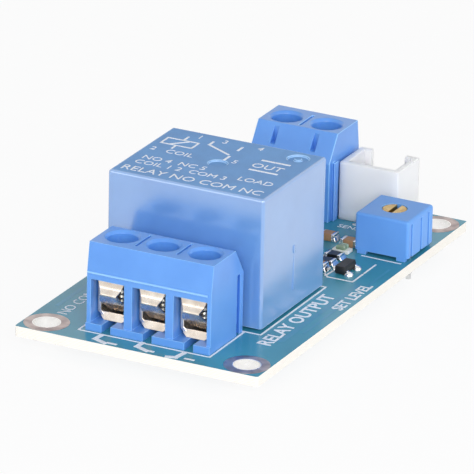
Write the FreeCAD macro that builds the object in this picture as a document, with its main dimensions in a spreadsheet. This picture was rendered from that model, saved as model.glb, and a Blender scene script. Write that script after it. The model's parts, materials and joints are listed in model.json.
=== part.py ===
import FreeCAD, Part
import os
import Sketcher
from FreeCAD import Rotation, Vector

# Light sensor module: a relay board with screw terminals, a sensor socket and a trimmer.
#
# Frame, in millimetres: X runs along the board's short side, Y along its long side, +Z up.
# The origin is the centre of the four mounting holes on the board's underside.
# Heights of what stands on the board are counted from the board's top face.
# The output terminal is at the front (-Y), the input terminal and the socket at the back.

# Driving sizes. Each name is also the alias of a cell in the sheet "Sizes".
SIZES = {
    # circuit board
    "board_thick": 1.2,
    "board_corner": 0.3,
    "mount_inset": 2.6,
    "mount_hole_dia": 3.2,
    "mount_ring": 0.97,
    "ring_gap": 0.9,
    "socket_ring_gap": 0.58,
    "parts_room": 17.74,
    "plating_thick": 0.05,
    "lead_tail": 1.5,
    "drill_gap": 0.1,
    "joint_collar": 0.55,
    "joint_height": 0.9,
    "joint_neck": 0.15,
    "fit_gap": 0.05,
    "press_gap": 0.02,
    # relay, outside
    "relay_x": -0.12,
    "relay_gap": 0.85,
    "relay_length": 19.2,
    "relay_width": 15.5,
    "relay_height": 15.46,
    "relay_standoff": 0.25,
    "relay_foot": 1.4,
    "cover_wall": 0.8,
    "cover_round": 0.35,
    "gate_dia": 2.2,
    "gate_depth": 0.25,
    "vent_dia": 2.5,
    "vent_inset_x": 2.5,
    "vent_inset_y": 2.1,
    "vent_nib_dia": 0.9,
    "relay_base_thick": 1.4,
    # relay, inside
    "tail_room": 1.2,
    "common_pin_inset": 0.5,
    "coil_pin_inset": 1.2,
    "contact_inset": 2.5,
    "relay_pin_inset": 1.75,
    "relay_pin_width": 1.0,
    "relay_pin_thick": 0.4,
    "yoke_thick": 1.0,
    "yoke_pin_gap": 1.0,
    "winding_inset": 0.5,
    "coil_flange_thick": 0.8,
    "coil_leg_gap": 2.6,
    "bobbin_side_gap": 0.35,
    "relay_headroom": 0.63,
    "bobbin_tube_dia": 4.5,
    "core_dia": 3.0,
    "core_rivet_dia": 2.0,
    "pole_dia": 6.0,
    "pole_thick": 0.6,
    "pole_gap": 0.4,
    "yoke_coil_gap": 0.3,
    "armature_thick": 0.9,
    "armature_inset": 0.5,
    "armature_overhang": 0.2,
    "blade_thick": 0.15,
    "blade_width": 3.2,
    "blade_tail": 6.5,
    "blade_tail_gap": 0.3,
    "blade_rivet_dia": 1.4,
    "blade_rivet_height": 0.3,
    "button_dia": 1.2,
    "button_height": 0.35,
    "contact_gap": 0.55,
    "closed_gap": 0.03,
    "finger_depth": 2.0,
    # screw terminals
    "out_terminal_setback": 3.04,
    "in_terminal_setback": 0.75,
    "pitch": 5.08,
    "terminal_depth": 7.76,
    "terminal_height": 10.2,
    "fold_height": 6.76,
    "fold_lean": 0.5,
    "crest_depth": 5.2,
    "back_wall_height": 7.1,
    "foot_height": 0.9,
    "foot_proud": 0.25,
    "foot_slot": 1.1,
    "entry_width": 4.1,
    "lintel_height": 6.0,
    "lintel_thick": 0.65,
    "cage_headroom": 1.1,
    "cage_end_gap": 0.2,
    "screw_depth": 3.45,
    "bore_gap": 0.15,
    "bore_chamfer": 0.3,
    "groove_width": 0.3,
    "groove_length": 3.6,
    "groove_cut": 0.35,
    "key_slot_width": 0.6,
    "key_slot_height": 1.9,
    "key_slot_bottom": 8.0,
    "key_slot_floor": 5.9,
    "dovetail_inset": 1.16,
    "dovetail_mouth": 0.7,
    "dovetail_root": 1.2,
    "dovetail_cut": 0.42,
    "cage_front": 1.5,
    "cage_length": 4.6,
    "cage_side_gap": 0.15,
    "cage_sheet": 0.38,
    "cage_nut_thick": 1.0,
    "cage_height": 5.5,
    "cage_bevel": 0.85,
    "cage_pin_depth": 3.9,
    "cage_pin_width": 1.0,
    "cage_pin_thick": 0.8,
    "guard_sheet": 0.2,
    "guard_top": 6.35,
    "guard_top_depth": 0.85,
    "guard_fold": 4.6,
    "guard_fold_depth": 0.6,
    "guard_lip": 3.8,
    "guard_lip_depth": 0.45,
    "guard_pad": 2.05,
    "guard_pad_lead": 0.2,
    "guard_pad_back": 4.9,
    "guard_side_gap": 0.35,
    "guard_lip_width": 1.7,
    "guard_pad_width": 0.9,
    "screw_side_gap": 0.07,
    "screw_running": 0.05,
    "screw_tip_gap": 0.03,
    "screw_travel": 0.51,
    "screw_head_gap": 0.09,
    "screw_head_dia": 3.1,
    "screw_head_height": 1.1,
    "screw_slot_width": 0.5,
    "screw_slot_cut": 0.55,
    # sensor socket
    "socket_terminal_gap": 0.05,
    "socket_setback": 0.975,
    "socket_width": 7.4,
    "socket_depth": 5.75,
    "socket_height": 7.0,
    "socket_wall": 0.75,
    "socket_floor": 1.2,
    "socket_notch_width": 4.2,
    "socket_notch_cut": 3.0,
    "socket_pitch": 2.5,
    "socket_pin_side": 0.64,
    "socket_pin_top": 5.9,
    # trimmer
    "trimmer_edge_gap": 0.3,
    "trimmer_socket_gap": 1.875,
    "trimmer_width": 6.7,
    "trimmer_depth": 6.6,
    "trimmer_height": 4.9,
    "trimmer_standoff": 0.4,
    "trimmer_foot": 1.1,
    "trimmer_round": 0.35,
    "trimmer_wall": 0.65,
    "rib_cut": 0.3,
    "rib_groove": 0.4,
    "rib_top_margin": 0.55,
    "rib_front": -2.35,
    "rib_middle": 0.15,
    "rib_back": 2.05,
    "rotor_dia": 2.8,
    "rotor_flange_dia": 4.6,
    "rotor_flange_thick": 0.7,
    "rotor_slot_width": 0.55,
    "rotor_slot_cut": 0.7,
    "rotor_recess": 0.05,
    "running_gap": 0.06,
    "element_thick": 0.8,
    "wiper_thick": 0.15,
    "wiper_dia": 4.0,
    "wiper_finger_dia": 0.7,
    "wiper_orbit": 1.5,
    "trimmer_pin_dia": 0.6,
    "trimmer_pin_pitch": 2.54,
    # small parts on the board's top face
    "amp_offset": 5.5,
    "amp_setback": 8.95,
    "amp_length": 4.9,
    "amp_width": 3.9,
    "amp_height": 1.5,
    "amp_standoff": 0.12,
    "amp_lead_pitch": 1.27,
    "amp_lead_width": 0.42,
    "amp_lead_reach": 1.05,
    "amp_mark_dia": 0.7,
    "driver_offset": 2.85,
    "driver_setback": 5.5,
    "driver_width": 1.3,
    "driver_length": 2.9,
    "driver_height": 1.0,
    "driver_standoff": 0.08,
    "driver_lead_spread": 1.1,
    "driver_lead_width": 0.45,
    "driver_lead_reach": 0.6,
    "lead_sheet": 0.15,
    "diode_offset": 0.7,
    "diode_gap": 0.85,
    "diode_length": 4.3,
    "diode_width": 2.6,
    "diode_height": 2.2,
    "diode_lead_width": 1.45,
    "diode_lead_reach": 0.45,
    "chip_length": 2.0,
    "chip_width": 1.25,
    "resistor_height": 0.55,
    "capacitor_height": 0.85,
    "chip_cap_length": 0.4,
    "chip_cap_thick": 0.03,
    "led_base_height": 0.4,
    "led_lens_height": 0.5,
    "led_lens_length": 1.2,
    "led_lens_taper": 8.0,
    "case_draft": 7.0,
    "chip_gap": 0.25,
    "chip_row_start": 4.45,
    "chip_row_step": 2.05,
    "middle_column_step": 4.05,
    "middle_row_start": 5.45,
    "middle_row_step": 4.4,
    "west_column_inset": 3.3,
    "west_row_start": 3.55,
    "west_row_step": 4.2,
}

doc = FreeCAD.newDocument("LightSensorModule")
sheet = doc.addObject("Spreadsheet::Sheet", "Sizes")


class Size:
    """A length with the sheet expression that gives it."""

    def __init__(self, value, text):
        self.value = value
        self.text = text

    @staticmethod
    def of(other):
        """Turns a plain number into a Size, and leaves a Size as it is."""
        if isinstance(other, Size):
            return other
        return Size(float(other), repr(float(other)))

    def __add__(self, other):
        other = Size.of(other)
        return Size(self.value + other.value, "(%s + %s)" % (self.text, other.text))

    def __sub__(self, other):
        other = Size.of(other)
        return Size(self.value - other.value, "(%s - %s)" % (self.text, other.text))

    def __mul__(self, other):
        other = Size.of(other)
        return Size(self.value * other.value, "(%s * %s)" % (self.text, other.text))

    def __truediv__(self, other):
        other = Size.of(other)
        return Size(self.value / other.value, "(%s / %s)" % (self.text, other.text))

    def __radd__(self, other):
        return Size.of(other) + self

    def __rsub__(self, other):
        return Size.of(other) - self

    def __rmul__(self, other):
        return Size.of(other) * self

    def __neg__(self):
        return Size(-self.value, "(0 - %s)" % self.text)


class SheetSizes:
    """The sheet's cells as attributes, one for each driving size."""

    def __init__(self, table):
        for row, (alias, value) in enumerate(table.items(), start=1):
            sheet.set("A%d" % row, alias)
            sheet.set("B%d" % row, str(value))
            sheet.setAlias("B%d" % row, alias)
            setattr(self, alias, Size(value, "Sizes." + alias))


s = SheetSizes(SIZES)
doc.recompute()

ZERO = Size.of(0)
nodes = {}


# Building blocks


def keep(obj, node):
    """Gives a finished sub-part its label and lists it for writing."""
    obj.Label = node
    nodes[node] = obj
    return obj


def bind(obj, prop, size):
    """Ties one property of an object to the sheet."""
    obj.setExpression(prop, Size.of(size).text)


def place(obj, x, y, z, turn=0.0):
    """Places an object, turned by a number of degrees about Z."""
    obj.Placement = FreeCAD.Placement(Vector(), Rotation(Vector(0, 0, 1), turn))
    bind(obj, "Placement.Base.x", x)
    bind(obj, "Placement.Base.y", y)
    bind(obj, "Placement.Base.z", z)
    return obj


def box(name, x, y, z):
    """A box given by its low and high limits along each axis."""
    obj = doc.addObject("Part::Box", name)
    for prop, (low, high) in zip(("Length", "Width", "Height"), (x, y, z)):
        bind(obj, prop, Size.of(high) - low)
    return place(obj, x[0], y[0], z[0])


def block(name, x, y, size_x, size_y, low, high):
    """A box centred on x, y that reaches from one height to another."""
    return box(name, (x - size_x / 2, x + size_x / 2), (y - size_y / 2, y + size_y / 2), (low, high))


def rod(name, x, y, dia, low, high):
    """An upright cylinder."""
    obj = doc.addObject("Part::Cylinder", name)
    bind(obj, "Radius", dia / 2)
    bind(obj, "Height", Size.of(high) - low)
    return place(obj, x, y, low)


def union(name, parts):
    """Several solids joined into one."""
    obj = doc.addObject("Part::MultiFuse", name)
    obj.Shapes = parts
    obj.Refine = True
    return obj


def cut(name, base, tool):
    """One solid cut by another."""
    obj = doc.addObject("Part::Cut", name)
    obj.Base = base
    obj.Tool = tool
    return obj


def group(name, parts):
    """Like pieces kept together as separate solids."""
    obj = doc.addObject("Part::Compound", name)
    obj.Links = parts
    return obj


def new_body(name, x=ZERO, y=ZERO, z=ZERO, turn=0.0):
    """An empty body at its place."""
    return place(doc.addObject("PartDesign::Body", name), x, y, z, turn)


def sketch(body, name, role, offset=ZERO):
    """A sketch on one of the body's origin planes, moved along the plane's normal.

    On XY_Plane it holds x and y and faces +Z, on XZ_Plane x and z and faces -Y,
    on YZ_Plane y and z and faces +X.
    """
    obj = body.newObject("Sketcher::SketchObject", name)
    plane = [item for item in body.Origin.OriginFeatures if item.Role == role][0]
    obj.AttachmentSupport = [(plane, "")]
    obj.MapMode = "FlatFace"
    bind(obj, "AttachmentOffset.Base.z", offset)
    return obj


def pin_point(obj, geometry, position, x, y):
    """Fixes one point of a sketch to sizes in the sheet."""
    for kind, size in (("DistanceX", Size.of(x)), ("DistanceY", Size.of(y))):
        rule = obj.addConstraint(Sketcher.Constraint(kind, -1, 1, geometry, position, size.value))
        obj.setExpression("Constraints[%d]" % rule, size.text)


def polygon(obj, points):
    """A closed outline through points."""
    first = obj.GeometryCount
    count = len(points)
    flat = [Vector(Size.of(x).value, Size.of(y).value, 0) for x, y in points]
    for index in range(count):
        obj.addGeometry(Part.LineSegment(flat[index], flat[(index + 1) % count]))
    for index in range(count):
        following = first + (index + 1) % count
        obj.addConstraint(Sketcher.Constraint("Coincident", first + index, 2, following, 1))
    for index, (x, y) in enumerate(points):
        pin_point(obj, first + index, 1, x, y)


def rectangle(obj, x, y):
    """A rectangle given by its low and high limits."""
    polygon(obj, [(x[0], y[0]), (x[1], y[0]), (x[1], y[1]), (x[0], y[1])])


def circle(obj, x, y, dia):
    """A circle given by its centre and diameter."""
    centre = Vector(Size.of(x).value, Size.of(y).value, 0)
    index = obj.addGeometry(Part.Circle(centre, Vector(0, 0, 1), Size.of(dia).value / 2))
    pin_point(obj, index, 3, x, y)
    rule = obj.addConstraint(Sketcher.Constraint("Diameter", index, Size.of(dia).value))
    obj.setExpression("Constraints[%d]" % rule, Size.of(dia).text)


def feature(body, kind, name, profile, length, reverse=False):
    """A pad or a pocket of a sketch. A pocket cuts against the sketch's facing."""
    obj = body.newObject("PartDesign::" + kind, name)
    obj.Profile = profile
    obj.Reversed = reverse
    bind(obj, "Length", length)
    body.Tip = obj
    return obj


def turned(body, name, profile):
    """A solid of revolution about the sketch's upright axis."""
    obj = body.newObject("PartDesign::Revolution", name)
    obj.Profile = profile
    obj.ReferenceAxis = (profile, ["V_Axis"])
    obj.Angle = 360
    body.Tip = obj
    return obj


def dress(body, kind, name, test, size):
    """A fillet or a chamfer on the edges of the tip that pass a test."""
    doc.recompute()
    base = body.Tip
    names = ["Edge%d" % number for number, edge in enumerate(base.Shape.Edges, start=1) if test(edge)]
    obj = body.newObject("PartDesign::" + kind, name)
    obj.Base = (base, names)
    bind(obj, "Radius" if kind == "Fillet" else "Size", size)
    body.Tip = obj
    return obj


def level(edge, height):
    """True where an edge lies flat at a height of its body."""
    return abs(edge.BoundBox.ZMin - height) < 1e-4 and abs(edge.BoundBox.ZMax - height) < 1e-4


def upright(edge, reach):
    """True where an edge stands upright and is at least as long as reach."""
    return edge.BoundBox.ZLength > reach and edge.BoundBox.XLength + edge.BoundBox.YLength < 1e-4


# Heights and places that several pieces share

top = s.board_thick
tail_end = -s.lead_tail

rail_proud = s.dovetail_cut - s.fit_gap
ring_reach = s.mount_inset + s.mount_hole_dia / 2 + s.mount_ring
socket_left = ring_reach + s.ring_gap + 2 * s.pitch + rail_proud + s.socket_terminal_gap
board_width = socket_left + s.socket_width + s.socket_ring_gap + ring_reach
board_length = (s.out_terminal_setback + s.terminal_depth + s.relay_gap + s.relay_width + s.parts_room
                + s.terminal_depth + s.in_terminal_setback)
board_west = -board_width / 2
board_front = -board_length / 2
board_back = board_length / 2

out_terminal_y = board_front + s.out_terminal_setback
in_terminal_x = board_west + ring_reach + s.ring_gap + s.pitch
in_terminal_y = board_back - s.in_terminal_setback
socket_x = board_west + socket_left + s.socket_width / 2
socket_y = board_back - s.socket_setback - s.socket_depth / 2
trimmer_x = board_width / 2 - s.trimmer_edge_gap - s.trimmer_width / 2
trimmer_y = socket_y - s.socket_depth / 2 - s.trimmer_socket_gap - s.trimmer_depth / 2
relay_y = out_terminal_y + s.terminal_depth + s.relay_gap + s.relay_width / 2
relay_back = relay_y + s.relay_width / 2

relay_roof = top + s.relay_height
cover_inside = relay_roof - s.cover_wall
relay_base_top = top + s.relay_standoff + s.relay_base_thick
yoke_leg_top = relay_base_top + s.yoke_thick
closed_finger = cover_inside - s.relay_headroom - s.relay_pin_thick
closed_face = closed_finger - s.button_height
blade_top = closed_face - s.closed_gap - s.button_height
armature_high = blade_top - s.blade_thick
armature_low = armature_high - s.armature_thick
pole_face = armature_low - s.pole_gap
bobbin_top = pole_face - s.pole_thick
winding_low = yoke_leg_top + s.coil_flange_thick
winding_high = bobbin_top - s.coil_flange_thick
yoke_outer = s.relay_x - s.relay_length / 2 + s.cover_wall + s.tail_room
yoke_inner = yoke_outer + s.yoke_thick
contact_x = s.relay_x + s.relay_length / 2 - s.contact_inset
flange_low = yoke_inner + s.yoke_coil_gap
flange_side = contact_x - s.relay_pin_thick / 2 - s.coil_leg_gap - flange_low
flange_width = s.relay_width - 2 * s.cover_wall - 2 * s.bobbin_side_gap
coil_centre = flange_low + flange_side / 2
coil_dia = flange_side - 2 * s.winding_inset
relay_pin_y = s.relay_width / 2 - s.relay_pin_inset
yoke_width = 2 * (relay_pin_y - s.relay_pin_width / 2 - s.yoke_pin_gap)
armature_width = yoke_width - 2 * s.armature_inset

entry_half = s.entry_width / 2
cage_low = s.foot_height
cage_top = cage_low + s.cage_height
cage_width = s.entry_width - 2 * s.cage_side_gap
chamber_height = cage_top + s.cage_headroom
chamber_back = s.cage_front + s.cage_length + s.cage_end_gap
dovetail_depth = s.terminal_depth - s.dovetail_inset
screw_dia = cage_width - 2 * s.cage_sheet - 2 * s.screw_side_gap
bore_dia = s.screw_head_dia + 2 * s.bore_gap
guard_top_width = s.entry_width - 2 * s.guard_side_gap
guard_pad_front = s.screw_depth - screw_dia / 2 - s.guard_pad_lead
screw_tip = s.guard_pad + s.guard_sheet + s.screw_tip_gap
head_low = cage_top + s.screw_travel + s.screw_head_gap
head_high = head_low + s.screw_head_height


class Lead:
    """A lead that passes through the board: its centre and section."""

    def __init__(self, x, y, size_x, size_y, is_round=False):
        self.x = x
        self.y = y
        self.size_x = size_x
        self.size_y = size_y
        self.is_round = is_round

    def drill(self):
        """The diameter of the lead's hole in the board."""
        if self.is_round:
            return self.size_x + 2 * s.drill_gap
        longer = self.size_x if self.size_x.value > self.size_y.value else self.size_y
        return longer + 2 * s.drill_gap

    def solid(self, name, low, high):
        """The lead itself between two heights."""
        if self.is_round:
            return rod(name, self.x, self.y, self.size_x, low, high)
        return block(name, self.x, self.y, self.size_x, self.size_y, low, high)


def relay_lead(x, side):
    """A flat relay lead on one side of the relay's middle line, or on it."""
    return Lead(x, relay_y + side * relay_pin_y, s.relay_pin_thick, s.relay_pin_width)


class Terminal:
    """A row of screw terminals: its place, its way and its positions."""

    def __init__(self, name, x, y, count, faces_back):
        self.name = name
        self.x = x
        self.y = y
        self.count = count
        self.turn = 180.0 if faces_back else 0.0
        self.way = -1 if faces_back else 1

    def offsets(self):
        """Each position's distance from the middle of the row."""
        return [(index - (self.count - 1) / 2) * s.pitch for index in range(self.count)]

    def centre(self, offset):
        """The X of one position."""
        return self.x + self.way * offset

    def at_depth(self, depth):
        """The Y of a depth behind the front face."""
        return self.y + self.way * depth

    def lead(self, offset):
        """The solder pin of one position."""
        return Lead(self.centre(offset), self.at_depth(s.cage_pin_depth), s.cage_pin_width, s.cage_pin_thick)


OUTPUT = Terminal("output", ZERO, out_terminal_y, 3, faces_back=False)
INPUT = Terminal("input", in_terminal_x, in_terminal_y, 2, faces_back=True)

common_lead = relay_lead(yoke_outer + s.common_pin_inset, 0)
coil_leads = [relay_lead(flange_low + s.coil_pin_inset, side) for side in (-1, 1)]
open_lead = relay_lead(contact_x, -1)
closed_lead = relay_lead(contact_x, 1)
terminal_leads = [row.lead(offset) for row in (OUTPUT, INPUT) for offset in row.offsets()]
socket_leads = [
    Lead(socket_x + side * s.socket_pitch / 2, socket_y, s.socket_pin_side, s.socket_pin_side)
    for side in (-1, 1)
]
trimmer_leads = [
    Lead(trimmer_x + step * s.trimmer_pin_pitch, trimmer_y + shift * s.trimmer_pin_pitch / 2,
         s.trimmer_pin_dia, s.trimmer_pin_dia, is_round=True)
    for step, shift in ((-1, -1), (0, 1), (1, -1))
]
relay_leads = [common_lead] + coil_leads + [open_lead, closed_lead]
all_leads = relay_leads + terminal_leads + socket_leads + trimmer_leads


# Circuit board


def mount_places():
    """The centres of the four mounting holes."""
    reach_x = board_width / 2 - s.mount_inset
    reach_y = board_length / 2 - s.mount_inset
    return [(side_x * reach_x, side_y * reach_y) for side_x in (-1, 1) for side_y in (-1, 1)]


def make_board():
    """The bare board with its mounting holes and drilled lead holes."""
    body = new_body("board")
    outline = sketch(body, "board_outline", "XY_Plane")
    half_x = board_width / 2
    half_y = board_length / 2
    rectangle(outline, (-half_x, half_x), (-half_y, half_y))
    feature(body, "Pad", "board_sheet", outline, s.board_thick)
    dress(body, "Fillet", "board_corners", lambda edge: upright(edge, s.board_thick.value / 2), s.board_corner)
    holes = sketch(body, "board_holes", "XY_Plane", s.board_thick)
    for x, y in mount_places():
        circle(holes, x, y, s.mount_hole_dia + 2 * s.plating_thick)
    for lead in all_leads:
        circle(holes, lead.x, lead.y, lead.drill())
    feature(body, "Pocket", "board_drilling", holes, s.board_thick)
    keep(body, "circuit_board")


def make_hole_plating():
    """A copper sleeve with a ring on each face in every mounting hole."""
    sleeves = []
    for index, (x, y) in enumerate(mount_places(), start=1):
        body = new_body("plating_%d" % index, x, y)
        inner = s.mount_hole_dia / 2
        barrel = inner + s.plating_thick
        rim = inner + s.mount_ring
        low, high = -s.plating_thick, top + s.plating_thick
        section = sketch(body, "plating_section_%d" % index, "XZ_Plane")
        polygon(section, [(inner, low), (rim, low), (rim, ZERO), (barrel, ZERO),
                          (barrel, top), (rim, top), (rim, high), (inner, high)])
        turned(body, "plating_ring_%d" % index, section)
        sleeves.append(body)
    keep(group("plating", sleeves), "mounting_hole_plating")


def make_solder_joints():
    """A solder fillet round every lead on the board's underside."""
    cones = []
    cores = []
    for index, lead in enumerate(all_leads, start=1):
        cone = doc.addObject("Part::Cone", "joint_%d" % index)
        bind(cone, "Radius1", lead.drill() / 2 + s.joint_neck)
        bind(cone, "Radius2", lead.drill() / 2 + s.joint_collar)
        bind(cone, "Height", s.joint_height)
        cones.append(place(cone, lead.x, lead.y, -s.joint_height))
        cores.append(lead.solid("joint_core_%d" % index, tail_end, top))
    joints = cut("joints", group("joint_cones", cones), group("joint_cores", cores))
    keep(joints, "solder_joints")


# Relay


def make_relay_cover():
    """The moulded cover: an open-bottomed shell with its gate mark and vent dimple."""
    body = new_body("cover", s.relay_x, relay_y, top)
    low = s.relay_standoff
    half_x = s.relay_length / 2
    half_y = s.relay_width / 2
    outline = sketch(body, "cover_outline", "XY_Plane", low)
    rectangle(outline, (-half_x, half_x), (-half_y, half_y))
    feature(body, "Pad", "cover_block", outline, s.relay_height - low)
    high = s.relay_height.value
    tall = high / 2
    dress(body, "Fillet", "cover_rounds", lambda edge: upright(edge, tall) or level(edge, high), s.cover_round)
    room = sketch(body, "cover_room", "XY_Plane", low)
    inner_x = half_x - s.cover_wall
    inner_y = half_y - s.cover_wall
    rectangle(room, (-inner_x, inner_x), (-inner_y, inner_y))
    feature(body, "Pocket", "cover_hollow", room, s.relay_height - low - s.cover_wall, reverse=True)
    marks = sketch(body, "cover_marks", "XY_Plane", s.relay_height)
    circle(marks, ZERO, ZERO, s.gate_dia)
    feature(body, "Pocket", "cover_gate", marks, s.gate_depth)
    vent = sketch(body, "cover_vent", "XY_Plane", s.relay_height)
    vent_x = half_x - s.vent_inset_x
    vent_y = half_y - s.vent_inset_y
    circle(vent, vent_x, vent_y, s.vent_dia)
    circle(vent, vent_x, vent_y, s.vent_nib_dia)
    feature(body, "Pocket", "cover_vent_ring", vent, s.gate_depth)
    keep(body, "relay_cover")


def make_relay_base():
    """The plate that closes the cover, with feet and a slot for each lead."""
    body = new_body("base", s.relay_x, relay_y, top)
    half_x = s.relay_length / 2 - s.cover_wall - s.fit_gap
    half_y = s.relay_width / 2 - s.cover_wall - s.fit_gap
    plate = sketch(body, "base_outline", "XY_Plane", s.relay_standoff)
    rectangle(plate, (-half_x, half_x), (-half_y, half_y))
    feature(body, "Pad", "base_plate", plate, s.relay_base_thick)
    feet = sketch(body, "base_feet", "XY_Plane")
    for side_x in (-1, 1):
        for side_y in (-1, 1):
            corner_x = side_x * (half_x - s.relay_foot / 2)
            corner_y = side_y * (half_y - s.relay_foot / 2)
            rectangle(feet, (corner_x - s.relay_foot / 2, corner_x + s.relay_foot / 2),
                      (corner_y - s.relay_foot / 2, corner_y + s.relay_foot / 2))
    feature(body, "Pad", "base_foot_pads", feet, s.relay_standoff)
    slots = sketch(body, "base_slots", "XY_Plane", s.relay_standoff + s.relay_base_thick)
    for lead in relay_leads:
        x = lead.x - s.relay_x
        y = lead.y - relay_y
        reach_x = lead.size_x / 2 + s.fit_gap
        reach_y = lead.size_y / 2 + s.fit_gap
        rectangle(slots, (x - reach_x, x + reach_x), (y - reach_y, y + reach_y))
    feature(body, "Pocket", "base_lead_slots", slots, s.relay_standoff + s.relay_base_thick)
    keep(body, "relay_base")


def make_relay_coil():
    """The bobbin, its winding and the iron core riveted to the yoke."""
    bore = s.core_dia + 2 * s.press_gap
    flange_half = flange_side / 2
    low_flange = box("bobbin_low", (coil_centre - flange_half, coil_centre + flange_half),
                     (relay_y - flange_width / 2, relay_y + flange_width / 2),
                     (yoke_leg_top, winding_low))
    high_flange = block("bobbin_high", coil_centre, relay_y, flange_side, flange_side,
                        winding_high, bobbin_top)
    tube = rod("bobbin_tube", coil_centre, relay_y, s.bobbin_tube_dia, yoke_leg_top, bobbin_top)
    spool = union("bobbin_spool", [low_flange, high_flange, tube])
    hole = rod("bobbin_bore", coil_centre, relay_y, bore, yoke_leg_top, bobbin_top)
    keep(cut("bobbin", spool, hole), "relay_bobbin")

    body = new_body("winding", coil_centre, relay_y)
    section = sketch(body, "winding_section", "XZ_Plane")
    rectangle(section, (s.bobbin_tube_dia / 2 + s.press_gap, coil_dia / 2), (winding_low, winding_high))
    turned(body, "winding_turns", section)
    keep(body, "relay_coil")

    body = new_body("core", coil_centre, relay_y)
    section = sketch(body, "core_section", "XZ_Plane")
    rivet, shaft, pole = s.core_rivet_dia / 2, s.core_dia / 2, s.pole_dia / 2
    polygon(section, [(ZERO, relay_base_top), (rivet, relay_base_top), (rivet, yoke_leg_top),
                      (shaft, yoke_leg_top), (shaft, bobbin_top), (pole, bobbin_top), (pole, pole_face),
                      (ZERO, pole_face)])
    turned(body, "core_turned", section)
    keep(body, "relay_core")


def make_relay_yoke():
    """The L-shaped yoke: a leg under the coil and a wall that carries the armature."""
    body = new_body("yoke", ZERO, relay_y)
    profile = sketch(body, "yoke_profile", "XZ_Plane", -yoke_width / 2)
    leg_end = coil_centre + s.core_rivet_dia
    polygon(profile, [(yoke_outer, relay_base_top), (leg_end, relay_base_top), (leg_end, yoke_leg_top),
                      (yoke_inner, yoke_leg_top), (yoke_inner, armature_low), (yoke_outer, armature_low)])
    feature(body, "Pad", "yoke_bent", profile, yoke_width)
    hole = sketch(body, "yoke_hole", "XY_Plane", yoke_leg_top)
    circle(hole, coil_centre, ZERO, s.core_rivet_dia + 2 * s.press_gap)
    feature(body, "Pocket", "yoke_rivet_hole", hole, s.yoke_thick)
    keep(body, "relay_yoke")


def make_relay_armature():
    """The hinged iron plate and the contact blade riveted on it."""
    plate_end = coil_centre + s.pole_dia / 2 + s.armature_overhang
    plate = box("armature", (yoke_outer - s.armature_overhang / 2, plate_end),
                (relay_y - armature_width / 2, relay_y + armature_width / 2), (armature_low, armature_high))
    keep(plate, "relay_armature")

    body = new_body("blade", ZERO, relay_y)
    tail_x = yoke_outer - s.blade_tail_gap
    blade_end = contact_x + s.button_dia * 0.7
    profile = sketch(body, "blade_profile", "XZ_Plane", -s.blade_width / 2)
    tail_low = armature_high - s.blade_tail
    polygon(profile, [(tail_x - s.blade_thick, tail_low), (tail_x, tail_low), (tail_x, armature_high),
                      (blade_end, armature_high), (blade_end, blade_top), (tail_x - s.blade_thick, blade_top)])
    feature(body, "Pad", "blade_strip", profile, s.blade_width)
    upper = sketch(body, "blade_upper", "XY_Plane", blade_top)
    circle(upper, contact_x, ZERO, s.button_dia)
    feature(body, "Pad", "blade_upper_button", upper, s.button_height)
    rivets = sketch(body, "blade_rivets", "XY_Plane", blade_top)
    for side in (-1, 1):
        circle(rivets, coil_centre + side * s.blade_rivet_dia, ZERO, s.blade_rivet_dia)
    feature(body, "Pad", "blade_rivet_heads", rivets, s.blade_rivet_height)
    lower = sketch(body, "blade_lower", "XY_Plane", armature_high)
    circle(lower, contact_x, ZERO, s.button_dia)
    feature(body, "Pad", "blade_lower_button", lower, s.button_height, reverse=True)
    keep(body, "relay_moving_contact")


def make_fixed_contact(node, lead, finger_low, button_low, button_high, side):
    """A stamped contact: its solder leg, the finger over or under the blade and its button."""
    finger_high = finger_low + s.relay_pin_thick
    leg = lead.solid(node + "_leg", tail_end, finger_high)
    reach = s.relay_pin_width * 0.6
    near, far = relay_y - side * (s.button_dia / 2 + reach), relay_y + side * (relay_pin_y + reach)
    across = (near, far) if side > 0 else (far, near)
    finger = box(node + "_finger", (contact_x - s.finger_depth / 2, contact_x + s.finger_depth / 2), across,
                 (finger_low, finger_high))
    button = rod(node + "_button", contact_x, relay_y, s.button_dia, button_low, button_high)
    keep(union(node + "_stamped", [leg, finger, button]), node)


def make_relay_contacts():
    """The two fixed contacts and the remaining solder leads of the relay."""
    open_face = armature_high - s.button_height - s.contact_gap
    open_finger = open_face - s.button_height - s.relay_pin_thick
    make_fixed_contact("relay_open_contact", open_lead, open_finger, open_face - s.button_height, open_face, -1)
    make_fixed_contact("relay_closed_contact", closed_lead, closed_finger, closed_face, closed_finger, 1)
    pins = [common_lead.solid("relay_pin_common", tail_end, relay_base_top)]
    for index, lead in enumerate(coil_leads, start=1):
        pins.append(lead.solid("relay_pin_coil_%d" % index, tail_end, yoke_leg_top))
    keep(group("relay_pin_set", pins), "relay_pins")


# Screw terminals


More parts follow.
